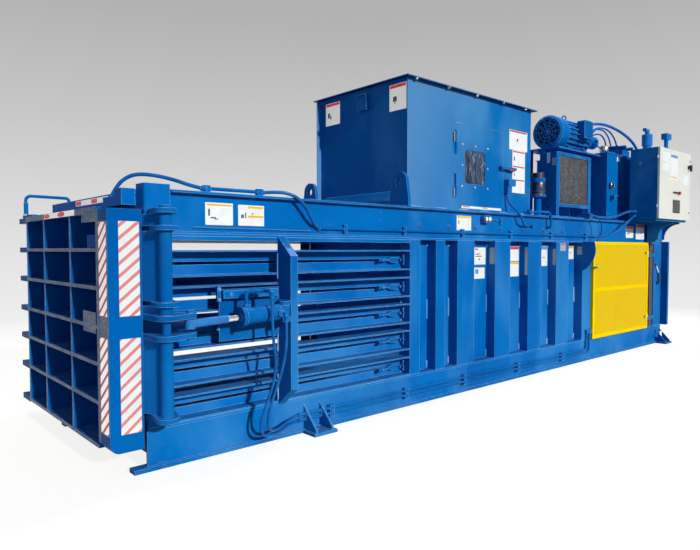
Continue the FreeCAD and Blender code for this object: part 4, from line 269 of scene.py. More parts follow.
def paint(name, main, light, dark, dust=0.07, wave=0.35, rough=0.22, coat=0.05, haze_and_sheen=0.55,
          edge=0.0, pale=0.0):
    """Glossy sprayed enamel on plate: lighter tall soft patches, partly dust and partly a painted sheen,
    orange peel, plate waves and dust. It can add painted highlights along the edges, and, where pale is
    given, a painted sheen on faces looking along -y and painted shade above the lip's underside.
    """
    look = Look(name)
    look.color = look.mix(look.ramp(look.noise(1.3, 3.0, 0.55), 0.32, 0.68), dark, main)
    # Lighter tall soft patches: partly dust, partly a painted sheen standing in for reflections in the
    # gloss
    haze_and_sheen_patch = look.ramp(look.noise(1.1, 3.0, 0.5, stretch=(1.5, 1.5, 0.8), warp=0.3), 0.46, 0.68, 0.0, haze_and_sheen)
    look.cover(haze_and_sheen_patch, light)
    look.cover(look.blots(90.0, 5.0, 0.7, 0.60, 0.82, dust * 1.2), rgb(190, 196, 202))
    up = look.ramp(look.facing(2), 0.6, 0.95)
    settle = look.times(up, look.blots(14.0, 5.0, 0.65, 0.40, 0.75, dust * 2.4))
    look.cover(settle, rgb(160, 168, 176))
    low = look.ramp(look.axis(2), 0.20, 0.0)
    look.cover(look.times(low, look.blots(22.0, 5.0, 0.7, 0.48, 0.74, dust * 1.5)), rgb(150, 150, 146))
    if pale:
        # Painted sheen: faces looking along -y grow lighter towards -x and upwards
        side = look.ramp(look.facing(1), -0.5, -0.9)
        slant = look.plus(look.axis(0), look.times(look.axis(2), -0.35))
        look.cover(look.times(side, look.ramp(slant, -1.5, -2.55, 0.0, pale)), rgb(112, 158, 196))
        # Painted shade: everything above the lip's underside is darker
        look.cover(look.math("GREATER_THAN", look.axis(2), lip_height), rgb(0, 62, 128))
    # Painted highlight along the rounded edges
    if edge:
        look.cover(look.times(look.edges(), edge), edge_highlight)
    look.bump((look.noise(2.2, 2.0, 0.5), wave, 0.010), (look.noise(210.0, 2.0, 0.5), 0.10, 0.0006))
    gloss = look.plus(look.ramp(look.noise(9.0, 4.0, 0.6), 0.3, 0.8, rough, rough + 0.14),
                      look.times(settle, 0.8))
    return look.set(rough=gloss, coat=coat, coat_rough=0.06, specular=low_shine)


blue = paint("blue_enamel", rgb(0, 112, 190), rgb(66, 144, 204), rgb(0, 96, 172), edge=1.0)
blue_hopper = paint("blue_enamel_sheet", rgb(6, 110, 182), rgb(70, 142, 194), rgb(0, 100, 174),
                    wave=0.9, rough=0.18, haze_and_sheen=0.7, edge=0.8, pale=0.5)
blue_part = paint("blue_enamel_parts", rgb(0, 110, 188), rgb(34, 132, 200), rgb(0, 86, 158),
                  wave=0.1, rough=0.24, haze_and_sheen=0.4, edge=1.0)
# A much lighter copy of the blue enamel for the weld beads and the anchor bolts: a painted highlight, as if
# the sun caught them
blue_painted_highlight = paint("blue_enamel_painted_highlight", rgb(120, 180, 228), rgb(200, 226, 242), rgb(70, 150, 214),
                    wave=0.1, rough=0.2, haze_and_sheen=0.8)
yellow = paint("yellow_enamel", rgb(252, 212, 0), rgb(255, 222, 16), rgb(246, 200, 0),
               dust=0.03, wave=0.2, rough=0.34, coat=0.0, haze_and_sheen=0.3)


def door_paint():
    """The discharge door's enamel: front edges rubbed to grey steel, painted highlights along the rounded
    edges, with strips on its front face.
    """
    look = Look("blue_enamel_rubbed")
    look.color = look.tones(1.6, 3.0, rgb(0, 90, 166), rgb(0, 104, 182))
    front = look.times(look.ramp(look.axis(0), door_front + 0.004, door_front),
                       look.ramp(look.facing(0), -0.8, -0.98))
    # The column's ends and the lugs beyond the grid keep most of their paint
    column = (1, -0.75, -0.49)
    painted = look.plus(look.inside(column, (2, 1.352, 2.0)), look.inside(column, (2, -0.1, 0.225)))
    bare = look.times(look.math("SUBTRACT", 1.0, painted), look.math("LESS_THAN", look.axis(1), 0.935))
    worn = look.ramp(look.noise(26.0, 5.0, 0.75, stretch=(1, 0.35, 1)), 0.34, 0.56, 0.35, 1.0)
    worn = look.times(look.times(front, worn), look.ramp(bare, 0.0, 1.0, 0.12, 1.0))
    look.cover(worn, look.tones(60.0, 4.0, rgb(90, 92, 102), rgb(140, 140, 146), 0.35, 0.7))
    dust = look.times(look.ramp(look.facing(2), 0.6, 0.95), look.blots(12.0, 5.0, 0.7, 0.38, 0.7, 0.45))
    look.cover(dust, rgb(140, 144, 150))
    # Painted highlight along the rounded edges
    look.cover(look.times(look.edges(0.003), 0.4), rgb(120, 168, 206))
    tape_width = (1, -0.608, -0.498)
    tape = look.plus(look.inside(tape_width, (2, 0.855, 1.346)), look.inside(tape_width, (2, 0.231, 0.740)))
    tape = look.times(front, tape)
    look.cover(tape, look.mix(look.stripes(1, 0.80), rgb(255, 250, 248), rgb(186, 66, 78)))
    strip_middle, oval_rise = 1.415, 0.0145
    strip = look.times(front, look.inside((1, -0.116, 0.485), (2, 1.399, 1.431)))
    look.cover(strip, rgb(250, 250, 248))
    for middle, reach in ((0.424, 0.062), (0.131, 0.070)):
        across = look.math("DIVIDE", look.plus(look.axis(1), -middle), reach)
        rise = look.math("DIVIDE", look.plus(look.axis(2), -strip_middle), oval_rise)
        far = look.plus(look.times(across, across), look.times(rise, rise))
        look.cover(look.times(strip, look.math("LESS_THAN", far, 1.0)), rgb(222, 70, 78))
    look.bump((look.noise(3.0, 2.0), 0.25, 0.008), (look.noise(180.0, 3.0), 0.12, 0.0006))
    rough = look.plus(look.ramp(look.noise(9.0), 0.3, 0.8, 0.22, 0.36), look.times(worn, 0.2))
    foil = look.times(look.math("MAXIMUM", tape, strip), 0.92)
    metal = look.math("MAXIMUM", look.times(worn, 0.6), foil)
    return look.set(rough=rough, metal=metal, coat=0.02, coat_rough=0.08, specular=low_shine)


blue_rubbed = door_paint()


def cream_coat():
    """Textured powder coat on the cabinet door."""
    look = Look("cream_powder_coat")
    look.color = look.tones(3.0, 4.0, rgb(222, 221, 210), rgb(232, 231, 221))
    smear = look.ramp(look.noise(11.0, 5.0, 0.7, stretch=(1, 1, 0.25)), 0.56, 0.8, 0.0, 0.2)
    look.cover(smear, rgb(206, 205, 197))
    look.bump((look.noise(700.0, 2.0), 0.18, 0.0006), (look.noise(3.0, 1.0), 0.15, 0.004))
    return look.set(rough=look.ramp(look.noise(30.0), 0.3, 0.7, 0.36, 0.5))


def steel(name, light, dark, rough=(0.28, 0.45), stretch=(1, 12, 12), scale=60.0, bump=0.15):
    """Bare steel with fine marks along one direction."""
    look = Look(name)
    grain = look.noise(scale, 6.0, 0.65, stretch=stretch)
    cloud = look.noise(6.0, 4.0, 0.6)
    look.color = look.mix(look.ramp(grain, 0.3, 0.7), dark, light)
    look.cover(look.ramp(cloud, 0.5, 0.8, 0.0, 0.4), dark)
    look.bump((grain, bump, 0.0008))
    return look.set(metal=1.0, rough=look.ramp(cloud, 0.3, 0.7, *rough))


plain_steel = steel("plain_steel", rgb(176, 178, 182), rgb(120, 122, 126))
silver_band = steel("silver_band", rgb(84, 88, 104), rgb(52, 56, 72), (0.3, 0.42), (1, 1, 1), 40.0, 0.05)
zinc = steel("zinc_plate", rgb(206, 206, 204), rgb(150, 150, 150), (0.25, 0.4), (1, 1, 1), 90.0, 0.1)


def chrome_bar():
    look = Look("hard_chrome")
    ring = look.noise(40.0, 3.0, 0.5, stretch=(8, 0.5, 0.5))
    look.color = look.mix(look.ramp(ring, 0.35, 0.65), rgb(214, 214, 212), rgb(236, 236, 234))
    look.bump((ring, 0.05, 0.0005))
    return look.set(metal=1.0, rough=look.ramp(look.noise(15.0), 0.3, 0.7, 0.07, 0.16))


def door_rod_finish():
    """The door cylinder's rod: hard chrome near the gland, a sprayed sleeve beyond it with painted
    highlights along its edges.
    """
    look = Look("door_rod")
    axis, start, bare_to = (-0.99824, 0.0329, -0.0494), (-3.190, -0.770, 0.830), 0.383
    away = look.node("VectorMath", {0: look.place, 1: start}, operation="SUBTRACT").outputs[0]
    along = look.node("VectorMath", {0: away, 1: axis}, operation="DOT_PRODUCT").outputs["Value"]
    bare = look.math("LESS_THAN", along, bare_to)
    ring = look.noise(40.0, 3.0, 0.5, stretch=(8, 0.5, 0.5))
    metal = look.mix(look.ramp(ring, 0.35, 0.65), rgb(208, 208, 208), rgb(234, 232, 230))
    enamel = look.tones(12.0, 3.0, rgb(0, 92, 166), rgb(16, 122, 196))
    # Painted highlight along the sleeve's rounded edges
    enamel = look.mix(look.edges(), enamel, edge_highlight)
    look.bump((look.noise(30.0, 3.0), 0.12, 0.002))
    look.color = look.mix(bare, enamel, metal)
    return look.set(metal=bare, rough=look.ramp(bare, 0.0, 1.0, 0.24, 0.10))


def worn_plate():
    """Brown wear strip: scuffed phenolic with vertical scratches."""
    look = Look("wear_strip_brown")
    streak = look.noise(30.0, 6.0, 0.7, stretch=(10, 10, 0.6))
    look.color = look.mix(look.ramp(streak, 0.35, 0.7), rgb(58, 50, 54), rgb(98, 86, 86))
    look.cover(look.blots(12.0, 5.0, 0.5, 0.52, 0.75, 0.5), rgb(120, 104, 96))
    look.bump((streak, 0.4, 0.001))
    return look.set(rough=look.ramp(streak, 0.3, 0.7, 0.55, 0.75))


def plastic(name, base, lighter, rough=(0.32, 0.5), grain=450.0, metal=0.0):
    look = Look(name)
    look.color = look.tones(18.0, 4.0, base, lighter)
    look.bump((look.noise(grain, 2.0), 0.12, 0.0004))
    return look.set(rough=look.ramp(look.noise(40.0), 0.3, 0.7, *rough), metal=metal)


matt, satin, foil = (0.4, 0.5), (0.35, 0.48), (0.3, 0.42)
print_grain = 200.0
black = plastic("black_plastic", rgb(20, 20, 22), rgb(34, 34, 37))
mark_grey = plastic("mark_grey", rgb(70, 72, 80), rgb(100, 102, 110), matt, print_grain)
rust = plastic("dark_rivet", rgb(96, 44, 22), rgb(130, 66, 30), matt, print_grain)
glossy_black = plastic("display_black", rgb(14, 16, 20), rgb(24, 27, 32), (0.08, 0.14), 60.0)
red = plastic("red_plastic", rgb(176, 18, 18), rgb(196, 32, 28), (0.25, 0.38))

label_colours = {}
for name, base, lighter in (
        ("white", (232, 234, 234), (244, 244, 242)), ("foil", (246, 246, 244), (255, 255, 252)),
        ("foil_red", (222, 60, 66), (236, 84, 84)), ("yellow", (236, 178, 24), (244, 190, 40)),
        ("red", (196, 44, 48), (210, 62, 62)), ("grey", (150, 162, 178), (168, 178, 192)),
        ("blue", (74, 140, 196), (92, 156, 208))):
    rough, metal = (foil, 0.9) if "foil" in name else (satin, 0.0)
    label_colours[name] = plastic("label_" + name, rgb(*base), rgb(*lighter), rough, print_grain, metal)
white = label_colours["white"]


def rubber_blue():
    """Hose sprayed with the machine: satin blue over a wrapped cover."""
    look = Look("hose_sprayed")
    look.color = look.tones(16.0, 4.0, rgb(2, 86, 158), rgb(14, 108, 182), 0.35, 0.7)
    look.cover(look.blots(70.0, 4.0, 0.5, 0.6, 0.8, 0.2), rgb(120, 140, 160))
    look.bump((look.noise(260.0, 2.0), 0.25, 0.0008))
    return look.set(rough=look.ramp(look.noise(30.0), 0.3, 0.7, 0.3, 0.42), coat=0.1, specular=0.1)


hose_paint = rubber_blue()


def reflective():
    """Retroreflective tape: white cells with thin red diagonals."""
    look = Look("tape_side")
    cells = look.node("TexVoronoi", {"Vector": look.place, "Scale": 260.0}).outputs["Distance"]
    base = look.tones(9.0, 4.0, rgb(240, 240, 236), rgb(228, 228, 226), 0.35, 0.7)
    look.color = look.mix(look.stripes(0, -0.84), base, rgb(226, 130, 128))
    look.bump((cells, 0.08, 0.0004))
    return look.set(rough=look.ramp(cells, 0.0, 0.6, 0.26, 0.36))


def fin_pack():
    """Cooler core: rows of folded fins between flat tubes, clogged with grey dust."""
    look = Look("cooler_fins")
    wave = look.node("TexWave", {"Vector": look.place, "Scale": 95.0, "Distortion": 0.6},
                     wave_type="BANDS", bands_direction="X").outputs["Fac"]
    rows = look.node("TexWave", {"Vector": look.place, "Scale": 17.0, "Distortion": 0.05},
                     wave_type="BANDS", bands_direction="Z").outputs["Fac"]
    dust = look.ramp(look.noise(26.0, 6.0, 0.75), 0.32, 0.62)
    look.color = look.mix(look.ramp(wave, 0.2, 0.8), rgb(50, 50, 56), rgb(92, 92, 98))
    look.cover(look.times(dust, 0.6), rgb(100, 98, 102))
    look.cover(look.ramp(rows, 0.86, 0.96, 0.0, 0.35), rgb(70, 70, 74))
    look.cover(look.blots(62.0, 5.0, 0.8, 0.54, 0.64, 0.6), rgb(200, 200, 198))
    look.cover(look.blots(9.0, 4.0, 0.7, 0.42, 0.62, 0.55), rgb(48, 48, 56))
    look.bump((wave, 0.8, 0.003), (rows, 0.4, 0.002), (look.noise(120.0, 4.0), 0.5, 0.002))
    return look.set(rough=0.62, metal=0.25)


def film():
    """Dark flexible film: wrinkled and glossy, lighter on the raised parts of its folds as painted light
    and shade, with a painted highlight along the creases.
    """
    look = Look("dark_film")
    folds = look.noise(6.0, 2.0, 0.5, stretch=(1.8, 1.0, 0.45), warp=1.6)
    crease_highlight = look.math("ABSOLUTE", look.plus(folds, -0.5))
    # Lighter on the raised parts of the folds, darker in their hollows: painted light and shade
    look.color = look.mix(look.ramp(folds, 0.38, 0.64), rgb(16, 30, 54), rgb(58, 80, 112))
    # Painted highlight along the creases
    look.cover(look.ramp(crease_highlight, 0.014, 0.0), rgb(150, 168, 196))
    look.bump((folds, 1.0, 0.06), (look.noise(30.0, 3.0), 0.15, 0.004))
    return look.set(rough=0.25, coat=0.15, coat_rough=0.1, specular=0.25)


def expanded_mesh():
    """Yellow expanded sheet: a fine diamond net, seen through at each hole."""
    look = Look("guard_mesh_yellow")
    hole_width, hole_height, hole_reach = 0.030, 0.012, 0.20
    x = look.math("DIVIDE", look.axis(0), hole_width)
    z = look.math("DIVIDE", look.axis(2), hole_height)
    net = []
    for sign in (1.0, -1.0):
        lean = look.plus(x, look.times(z, sign))
        net.append(look.math("ABSOLUTE", look.plus(look.math("FRACT", lean), -0.5)))
    near = look.math("MAXIMUM", *net)
    hole = look.math("LESS_THAN", near, hole_reach)
    strand = look.ramp(near, hole_reach, 0.5)
    look.color = look.mix(strand, rgb(228, 188, 0), rgb(255, 216, 0))
    look.cover(look.blots(2.5, 4.0, 0.5, 0.35, 0.7, 0.5), rgb(246, 200, 0))
    look.bump((strand, 0.6, 0.0015))
    return look.set(rough=0.45, alpha=look.math("SUBTRACT", 1.0, hole), specular=0.05)


# ---- mesh tools, in millimetres

smooth_angle = radians(35.0)
corner_steps = 4
dome_steps = 5
weld_pitch = 7.0


class Shape:
    """Gathers solids, in millimetres, into the mesh of one piece."""

    def __init__(self):
        self.mesh = bmesh.new()

    def rings(self, rings):
        """Joins rings of points, each ring with the same count, and closes both ends."""
        made = [[self.mesh.verts.new(Vector(p) * MM) for p in ring] for ring in rings]
        count = len(made[0])
        for low, high in zip(made, made[1:]):
            for i in range(count):
                j = (i + 1) % count
                self.mesh.faces.new((low[i], low[j], high[j], high[i]))
        self.mesh.faces.new(list(reversed(made[0])))
        self.mesh.faces.new(made[-1])
        return self

    def turned(self, profile, centre, axis, sides=24, phase=0.0):
        """A turned form: profile pairs are (radius, distance along the axis)."""
        turn = Vector(axis).normalized().to_track_quat("Z", "Y").to_matrix()
        rings = []
        for radius, along in profile:
            ring = []
            for i in range(sides):
                angle = 2 * pi * i / sides + phase
                local = Vector((radius * cos(angle), radius * sin(angle), along))
                ring.append(Vector(centre) + turn @ local)
            rings.append(ring)
        return self.rings(rings)

    def hex_bolt(self, centre, axis, size, washer=True):
        """A hexagon head with chamfered corners on a flat washer."""
        base = 0.0
        if washer:
            self.turned([(size * 1.15, 0.0), (size * 1.15, size * 0.16), (size * 1.05, size * 0.22)],
                        centre, axis, 20)
            base = size * 0.2
        turn = (round(sum(centre)) % 6) * 0.17
        self.turned([(size * 0.80, base), (size * 0.86, base + size * 0.1),
                     (size * 0.86, base + size * 0.62), (size * 0.70, base + size * 0.72)],
                    centre, axis, 6, turn)

    def dome(self, centre, axis, radius, height):
        """A low round head."""
        profile = [(radius, 0.0), (radius, height * 0.15)]
        for i in range(1, dome_steps):
            angle = pi / 2 * i / dome_steps
            profile.append((radius * cos(angle), height * (0.15 + 0.85 * sin(angle))))
        profile.append((radius * 0.12, height))
        self.turned(profile, centre, axis, 16)

    def tube(self, points, radius, sides=12, ripple=None):
        """A round bar along points; ripple gives the radius for each ring."""
        points = [Vector(p) for p in points]
        rings = []
        side = None
        for i, point in enumerate(points):
            ahead = points[min(i + 1, len(points) - 1)] - points[max(i - 1, 0)]
            ahead.normalize()
            if side is None:
                side = ahead.orthogonal().normalized()
            side = (side - ahead * side.dot(ahead)).normalized()
            other = ahead.cross(side)
            r = ripple(i) if ripple else radius
            rings.append([point + side * r * cos(2 * pi * k / sides)
                          + other * r * sin(2 * pi * k / sides) for k in range(sides)])
        return self.rings(rings)

    def weld(self, start, end, size):
        """A weld bead between two points, in overlapping scallops."""
        start, end = Vector(start), Vector(end)
        count = max(3, int((end - start).length / weld_pitch * 2))
        points = [start.lerp(end, i / count) for i in range(count + 1)]
        jitter = random.Random(round(start.x * 3 + start.y * 5 + start.z * 7))

        def ripple(i):
            edge = 0.45 if i in (0, count) else 1.0
            return size * edge * ((1.0 if i % 2 else 0.80) + jitter.uniform(-0.07, 0.07))
        self.tube(points, size, 7, ripple)

    def slab(self, low, high, corner=0.0, axis=1, edge=0.0):
        """A flat plate, its corners rounded in plan; axis is the direction of its thickness."""
        a, b = [i for i in (0, 1, 2) if i != axis]
        a0, a1, b0, b1 = low[a] + corner, high[a] - corner, low[b] + corner, high[b] - corner
        outline = []
        for quarter, ca, cb in ((2, a0, b0), (3, a1, b0), (0, a1, b1), (1, a0, b1)):
            for i in range(corner_steps + 1):
                angle = quarter * pi / 2 + pi / 2 * i / corner_steps
                outline.append((ca, cb, cos(angle), sin(angle)))

        def ring(inset, depth):
            points = []
            for ca, cb, c, s in outline:
                p = [0.0, 0.0, 0.0]
                p[a] = ca + (corner - inset) * c
                p[b] = cb + (corner - inset) * s
                p[axis] = depth
                points.append(p)
            return points
        edge = min(edge, corner)
        rings = [ring(edge, low[axis]), ring(0.0, low[axis] + edge), ring(0.0, high[axis] - edge),
                 ring(edge, high[axis])] if edge else [ring(0.0, low[axis]), ring(0.0, high[axis])]
        return self.rings(rings)

    def piece(self, name, material, body="frame"):
        bmesh.ops.recalc_face_normals(self.mesh, faces=self.mesh.faces)
        data = bpy.data.meshes.new(name)
        self.mesh.to_mesh(data)
        self.mesh.free()
        data.materials.append(material)
        made = add_object(name, data)
        data.shade_smooth()
        data.set_sharp_from_angle(angle=smooth_angle)
        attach(made, body)


def bent(points, radius, steps=6):
    """Corners of a rigid pipe joined by arcs, as a list of places for a tube."""
    points = [Vector(p) for p in points]
    path = [points[0]]
    for before, corner, after in zip(points, points[1:], points[2:]):
        a, b = (before - corner).normalized(), (after - corner).normalized()
        reach = min(radius, (before - corner).length * 0.45, (after - corner).length * 0.45)
        for i in range(steps + 1):
            t = i / steps
            path.append((corner + a * reach) * (1 - t) ** 2 + corner * 2 * t * (1 - t)
                        + (corner + b * reach) * t ** 2)
    path.append(points[-1])
    return path


# ---- finishes on the frame's nodes

finishes = (
    (blue_hopper, "hopper_shell man_door oil_tank enclosure_box"),
    (blue_rubbed, "door_grid door_column"),
    (blue_part, "hinge_brackets door_hinge_barrels cylinder_anchor door_cylinder_barrel door_lock_bar "
                "lock_guides motor_housing motor_rotor hydraulic_pump valve_manifold return_filters "
                "rigid_pipes drain_lever wire_guides man_door_latch guard_latch"),
    (black, "disconnect_handle push_button_1 push_button_2 push_button_3"),
    (zinc, "door_lock_upper door_lock_lower"),
    (red, "stop_button"), (yellow, "guard_frame"), (plain_steel, "ram_body"),
    (cream_coat(), "enclosure_door"), (expanded_mesh(), "guard_mesh"), (fin_pack(), "cooler_core"),
    (film(), "man_door_window"), (chrome_bar(), "ram_rod"), (door_rod_finish(), "door_cylinder_rod"),
)
finish_of = {name: material for material, names in finishes for name in names.split()}
for name, thing in nodes.items():
    material = finish_of.get(name, blue)
    if not thing.material_slots:
        thing.data.materials.append(material)
    for place in thing.material_slots:
        place.material = material

# Each cord gets the sprayed hose finish and rides on the frame; the model's own node of that name is hidden
for name, curve in cords.items():
    diameter, points = routes[name]
    curve.data.materials.append(hose_paint)
    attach(curve, "frame")
    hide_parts(name)

# ---- faces of the solids that carry the trim, in millimetres, and directions

rail_y, rib_y, beam_y, panel_y = -620, -612, -600, -524
hopper_x, hopper_y = -1844, -534
header_x = -3985
cooler_x, cooler_y = 523, -470
tank_y = -492
cabinet_x, cabinet_y = 1895, -972.6
post_y = -622
motor_x, motor_y, motor_z = 694.4, -252, 2486
near, up, along, back = (0, -1, 0), (0, 0, 1), (1, 0, 0), (-1, 0, 0)

# ---- labels, all plain fields of colour


class Labels:
    """Plates of one body, gathered by colour, on faces that look along y (side) or x (front)."""

    def __init__(self):
        self.shapes = {}

    def field(self, colour, axis, a, z, at, thick=0.8, corner=5.0):
        low, high = [a[0], a[0], z[0]], [a[1], a[1], z[1]]
        low[axis], high[axis] = at - thick, at
        self.shapes.setdefault(colour, Shape()).slab(low, high, corner, axis)

    def label(self, axis, a, z, at, bands, colour):
        """A rounded field with bands; a band is colour, then its shares across and up."""
        self.field(colour, axis, a, z, at)
        width, height = a[1] - a[0], z[1] - z[0]
        for tint, u0, u1, v0, v1 in bands:
            self.field(tint, axis, (a[0] + u0 * width, a[0] + u1 * width),
                       (z[0] + v0 * height, z[0] + v1 * height), at, 1.2, 2.0)

    def side(self, x, z, at, *bands, colour="white"):
        self.label(1, x, z, at, bands, colour)

    def front(self, y, z, at, *bands, colour="foil"):
        self.label(0, y, z, at, bands, colour)

    def make(self, name, body="frame"):
        for colour, shape in self.shapes.items():
            shape.piece(name + "_" + colour, label_colours[colour], body)


def top(colour, low=0.86, high=0.98):
    """A band across the top of a label."""
    return (colour, 0.03, 0.97, low, high)


plates = Labels()
plates.side((-3618, -3436), (1346, 1476), beam_y, ("yellow", 0.05, 0.95, 0.86, 0.94))
plates.side((-3400, -3216), (1347, 1472), beam_y, ("yellow", 0.36, 0.97, 0.84, 0.95),
            ("yellow", 0.36, 0.97, 0.40, 0.50))
plates.side((-1310, -1113), (1366, 1487), beam_y, top("yellow"))
plates.side((-452, -151), (2139, 2323), hopper_y, top("red", 0.90))
plates.side((-399, -186), (1739, 2137), hopper_y,
            *[("red", 0.04, 0.96, v, v + 0.03) for v in (0.955, 0.605, 0.290)])
plates.side((-1161, -575), (1559, 1580), hopper_y, ("red", 0.03, 0.19, 0.5, 0.85),
            ("red", 0.50, 0.64, 0.5, 0.85))
plates.front((264, 456), (2305, 2499), hopper_x, top("foil_red"))
plates.front((-524, -340), (2301, 2507), hopper_x, top("foil_red"))
plates.side((-960, -796), (1070, 1222), panel_y, ("red", 0.05, 0.30, 0.86, 0.94))
plates.side((-960, -807), (945, 1044), panel_y, ("blue", 0.08, 0.38, 0.45, 0.86))
plates.side((-421, -258), (1095, 1233), panel_y, top("red", 0.80))
plates.side((-421, -258), (948, 1088), panel_y, top("yellow", 0.84))
plates.side((132, 262), (1038, 1240), panel_y, top("blue", 0.82))
plates.side((665, 800), (1102, 1242), panel_y, top("yellow", 0.82))
plates.side((345, 455), (1190, 1268), rail_y, ("red", 0.05, 0.95, 0.78, 0.92), colour="grey")
# Grey plates on the ribs' side faces: painted reflections, in the glossy enamel, of the white labels beside
# them
for rib_x, inner_y, z in ((-782, -560, (1075, 1222)), (-243, -582, (962, 1228)),
                          (274, -580, (1048, 1210)), (815, -560, (1150, 1238))):
    plates.front((rib_y, inner_y), z, rib_x, colour="grey")
plates.side((1903, 2103), (1344, 1484), beam_y, top("red", 0.80))
plates.side((2179, 2420), (1330, 1508), beam_y, top("red", 0.82))
plates.front((-392, -355), (2118, 2228), cooler_x)
plates.front((-461, -414), (2090, 2168), cooler_x, colour="grey")
plates.side((1871, 1954), (2257, 2308), tank_y)
plates.front((-774, -740), (2186, 2224), cabinet_x, colour="blue")
plates.front((-100, 496), (1490, 1524), header_x)
for y in (385, 88):
    plates.field("foil_red", 0, (y, y + 108), (1493.5, 1520.5), header_x, 1.2, 13.0)
plates.make("label")

cabinet = Labels()
cabinet.side((1973, 2185), (2111, 2330), cabinet_y, ("yellow", 0.08, 0.4, 0.42, 0.46))
cabinet.side((2197, 2428), (2024, 2330), cabinet_y, ("blue", 0.05, 0.95, 0.86, 0.97),
             ("yellow", 0.10, 0.92, 0.09, 0.13))
cabinet.side((2598, 2760), (1989, 2112), cabinet_y)
cabinet.make("cabinet_label", "control_door")

# ---- discharge door: tape on the column's side, and plates on the grid's front

side_tape = Shape()
for z0, z1 in ((853, 1351), (229, 735)):
    side_tape.slab((-4128, -624.7, z0), (-4018, -624, z1), 4.0)
side_tape.piece("door_tape_side", reflective(), "discharge_door")

grid_plates = Shape()
grid_plates.slab((-4185.9, -455, 1416), (-4150, 928, 1432), 3.0, 2)
for y0, y1, z0, z1 in ((-437, -237, 750, 864), (-484, -235, 1352, 1416)):
    grid_plates.slab((-4185.7, y0, z0), (-4178, y1, z1), 4.0, 0)
grid_plates.slab((-4178, -440, 1214), (-4166, -300, 1283), 5.0, 0)
grid_plates.piece("grid_top_cap", blue_rubbed, "discharge_door")

# ---- bolts and nuts

lip_nuts = Shape()
for x in (-1768, -1376, -988, -596, -232):
    lip_nuts.hex_bolt((x, -562, 2538), (0, 0, -1), 15)
lip_nuts.piece("lip_nuts", zinc)

window_bolts = Shape()
columns, rows = (-1153, -970, -787), (2103, 1925, 1747)
for z in rows:
    for x in columns:
        if (x, z) != (columns[1], rows[1]):
            window_bolts.dome((x, hopper_y, z), near, 10, 6)
window_bolts.piece("window_bolts", zinc, "hopper_door")

frame_bolts = Shape()
for x in (-1778, -1420, -1057, -690, -322, 45, 412, 766):
    frame_bolts.hex_bolt((x, beam_y, 1390), near, 18)
for x in (-2705, -1960, -1238, -430, 379):
    frame_bolts.hex_bolt((x, -649, 108), near, 8, False)
for z in (1420, 1476):
    for x in (-3300, -2200, -1000, 300, 1300):
        frame_bolts.dome((x, beam_y, z), near, 6, 3)
for x in (540, 1252):
    for z in (1690, 1830, 1960, 2090, 2210):
        frame_bolts.dome((x, cooler_y, z), near, 6, 3.5)
frame_bolts.piece("frame_bolts", blue_part)

# ---- weld beads at the ribs, the bay post, the hopper's foot and its lugs

bead_y = panel_y - 2
hopper_foot_z, beam_top_z = 1546, 1534
welds = Shape()
left_edges = [x - 2 for x in (-1901, -1594, -1318, -782, -243, 274, 815)]
right_edges = [x + 2 for x in (-1786, -1481, -1091, -546, -11, 516)]
for rib_edges, spans in ((left_edges, ((1228, 1252), (640, 800), (240, 300))),
                         (right_edges, ((1222, 1252), (980, 1060), (560, 650), (240, 282)))):
    for x in rib_edges:
        for z0, z1 in spans:
            welds.weld((x, bead_y, z0), (x, bead_y, z1), 7.5)
for z0, z1 in ((250, 420), (560, 700), (1020, 1180)):
    for x in (-3132, -3074):
        welds.weld((x, post_y, z0), (x, post_y, z1), 4.0)
for x in (-1800, -1500, -1200, -900, -600, -300):
    welds.weld((x, hopper_y - 3, hopper_foot_z), (x + 130, hopper_y - 3, hopper_foot_z), 5.5)
welds.weld((hopper_x - 2, -500, hopper_foot_z), (hopper_x - 2, -420, hopper_foot_z), 4.0)
for side in (-1, 1):
    for x in (-1927, -1957):
        for y0, y1 in ((480, 540), (565, 630)):
            welds.weld((x, side * y0, beam_top_z), (x, side * y1, beam_top_z), 4.0)
# The beads take the lighter blue: a painted highlight
welds.piece("weld_beads", blue_painted_highlight)

# ---- wire guides at the slats' ends

wire_y = -566
guides, guide_nuts = Shape(), Shape()
for z in (1124, 919, 714, 509, 300):
    guides.tube([(-2182 + 12 * i, wire_y, z) for i in range(9)], 8, 10)
    guides.turned([(13, 0), (15, 3), (15, 34), (13, 37)], (-2190, wire_y, z), along, 16)
    guides.turned([(12, 0), (13, 2), (13, 12), (12, 14)], (-2140, wire_y, z), along, 6)
    for x in (-1968, -1928):
        guide_nuts.turned([(11, 0), (12, 1.5), (12, 11), (11, 12.5)], (x, wire_y - 4, z), along, 6)
guides.piece("wire_tubes", blue_part)
guide_nuts.piece("wire_nuts", blue_part)

# ---- near beam, and the cylinder's anchor below it

Shape().slab((-3900, rail_y, 1294), (-1902, beam_y, 1306), 2, 2).piece("beam_flange", blue)
line_y, line_r = beam_y - 6, 5
beam_line = Shape()
beam_line.tube([(-3700, line_y, 1330), (-3300, line_y, 1328), (-2860, line_y, 1326)], line_r, 10)
beam_line.piece("beam_line", blue_part)

housing = Shape()
housing.slab((-3552, -686, 919), (-3172, -632, 966), 6, 1, 3)
housing.slab((-3572, -650, 900), (-3548, -632, 990), 3)
for x in (-3500, -3340, -3220):
    housing.hex_bolt((x, -686, 942), near, 9)
housing.piece("lock_housing", blue)
anchor_bolts = Shape()
for place in ((-3560, -650, 972), (-3560, -650, 912), (-3560, -632, 742), (-3090, post_y, 960),
              (-3090, post_y, 800)):
    anchor_bolts.hex_bolt(place, near, 10)
# The anchor bolts take the lighter blue: a painted highlight
anchor_bolts.piece("anchor_bolts", blue_painted_highlight)

# ---- far side's joint plate, wear strip, guard rivets and loop handle

Shape().slab((-2008, 620.5, 236), (-1902, 627, 1288), 6).piece("far_joint_plate", blue)

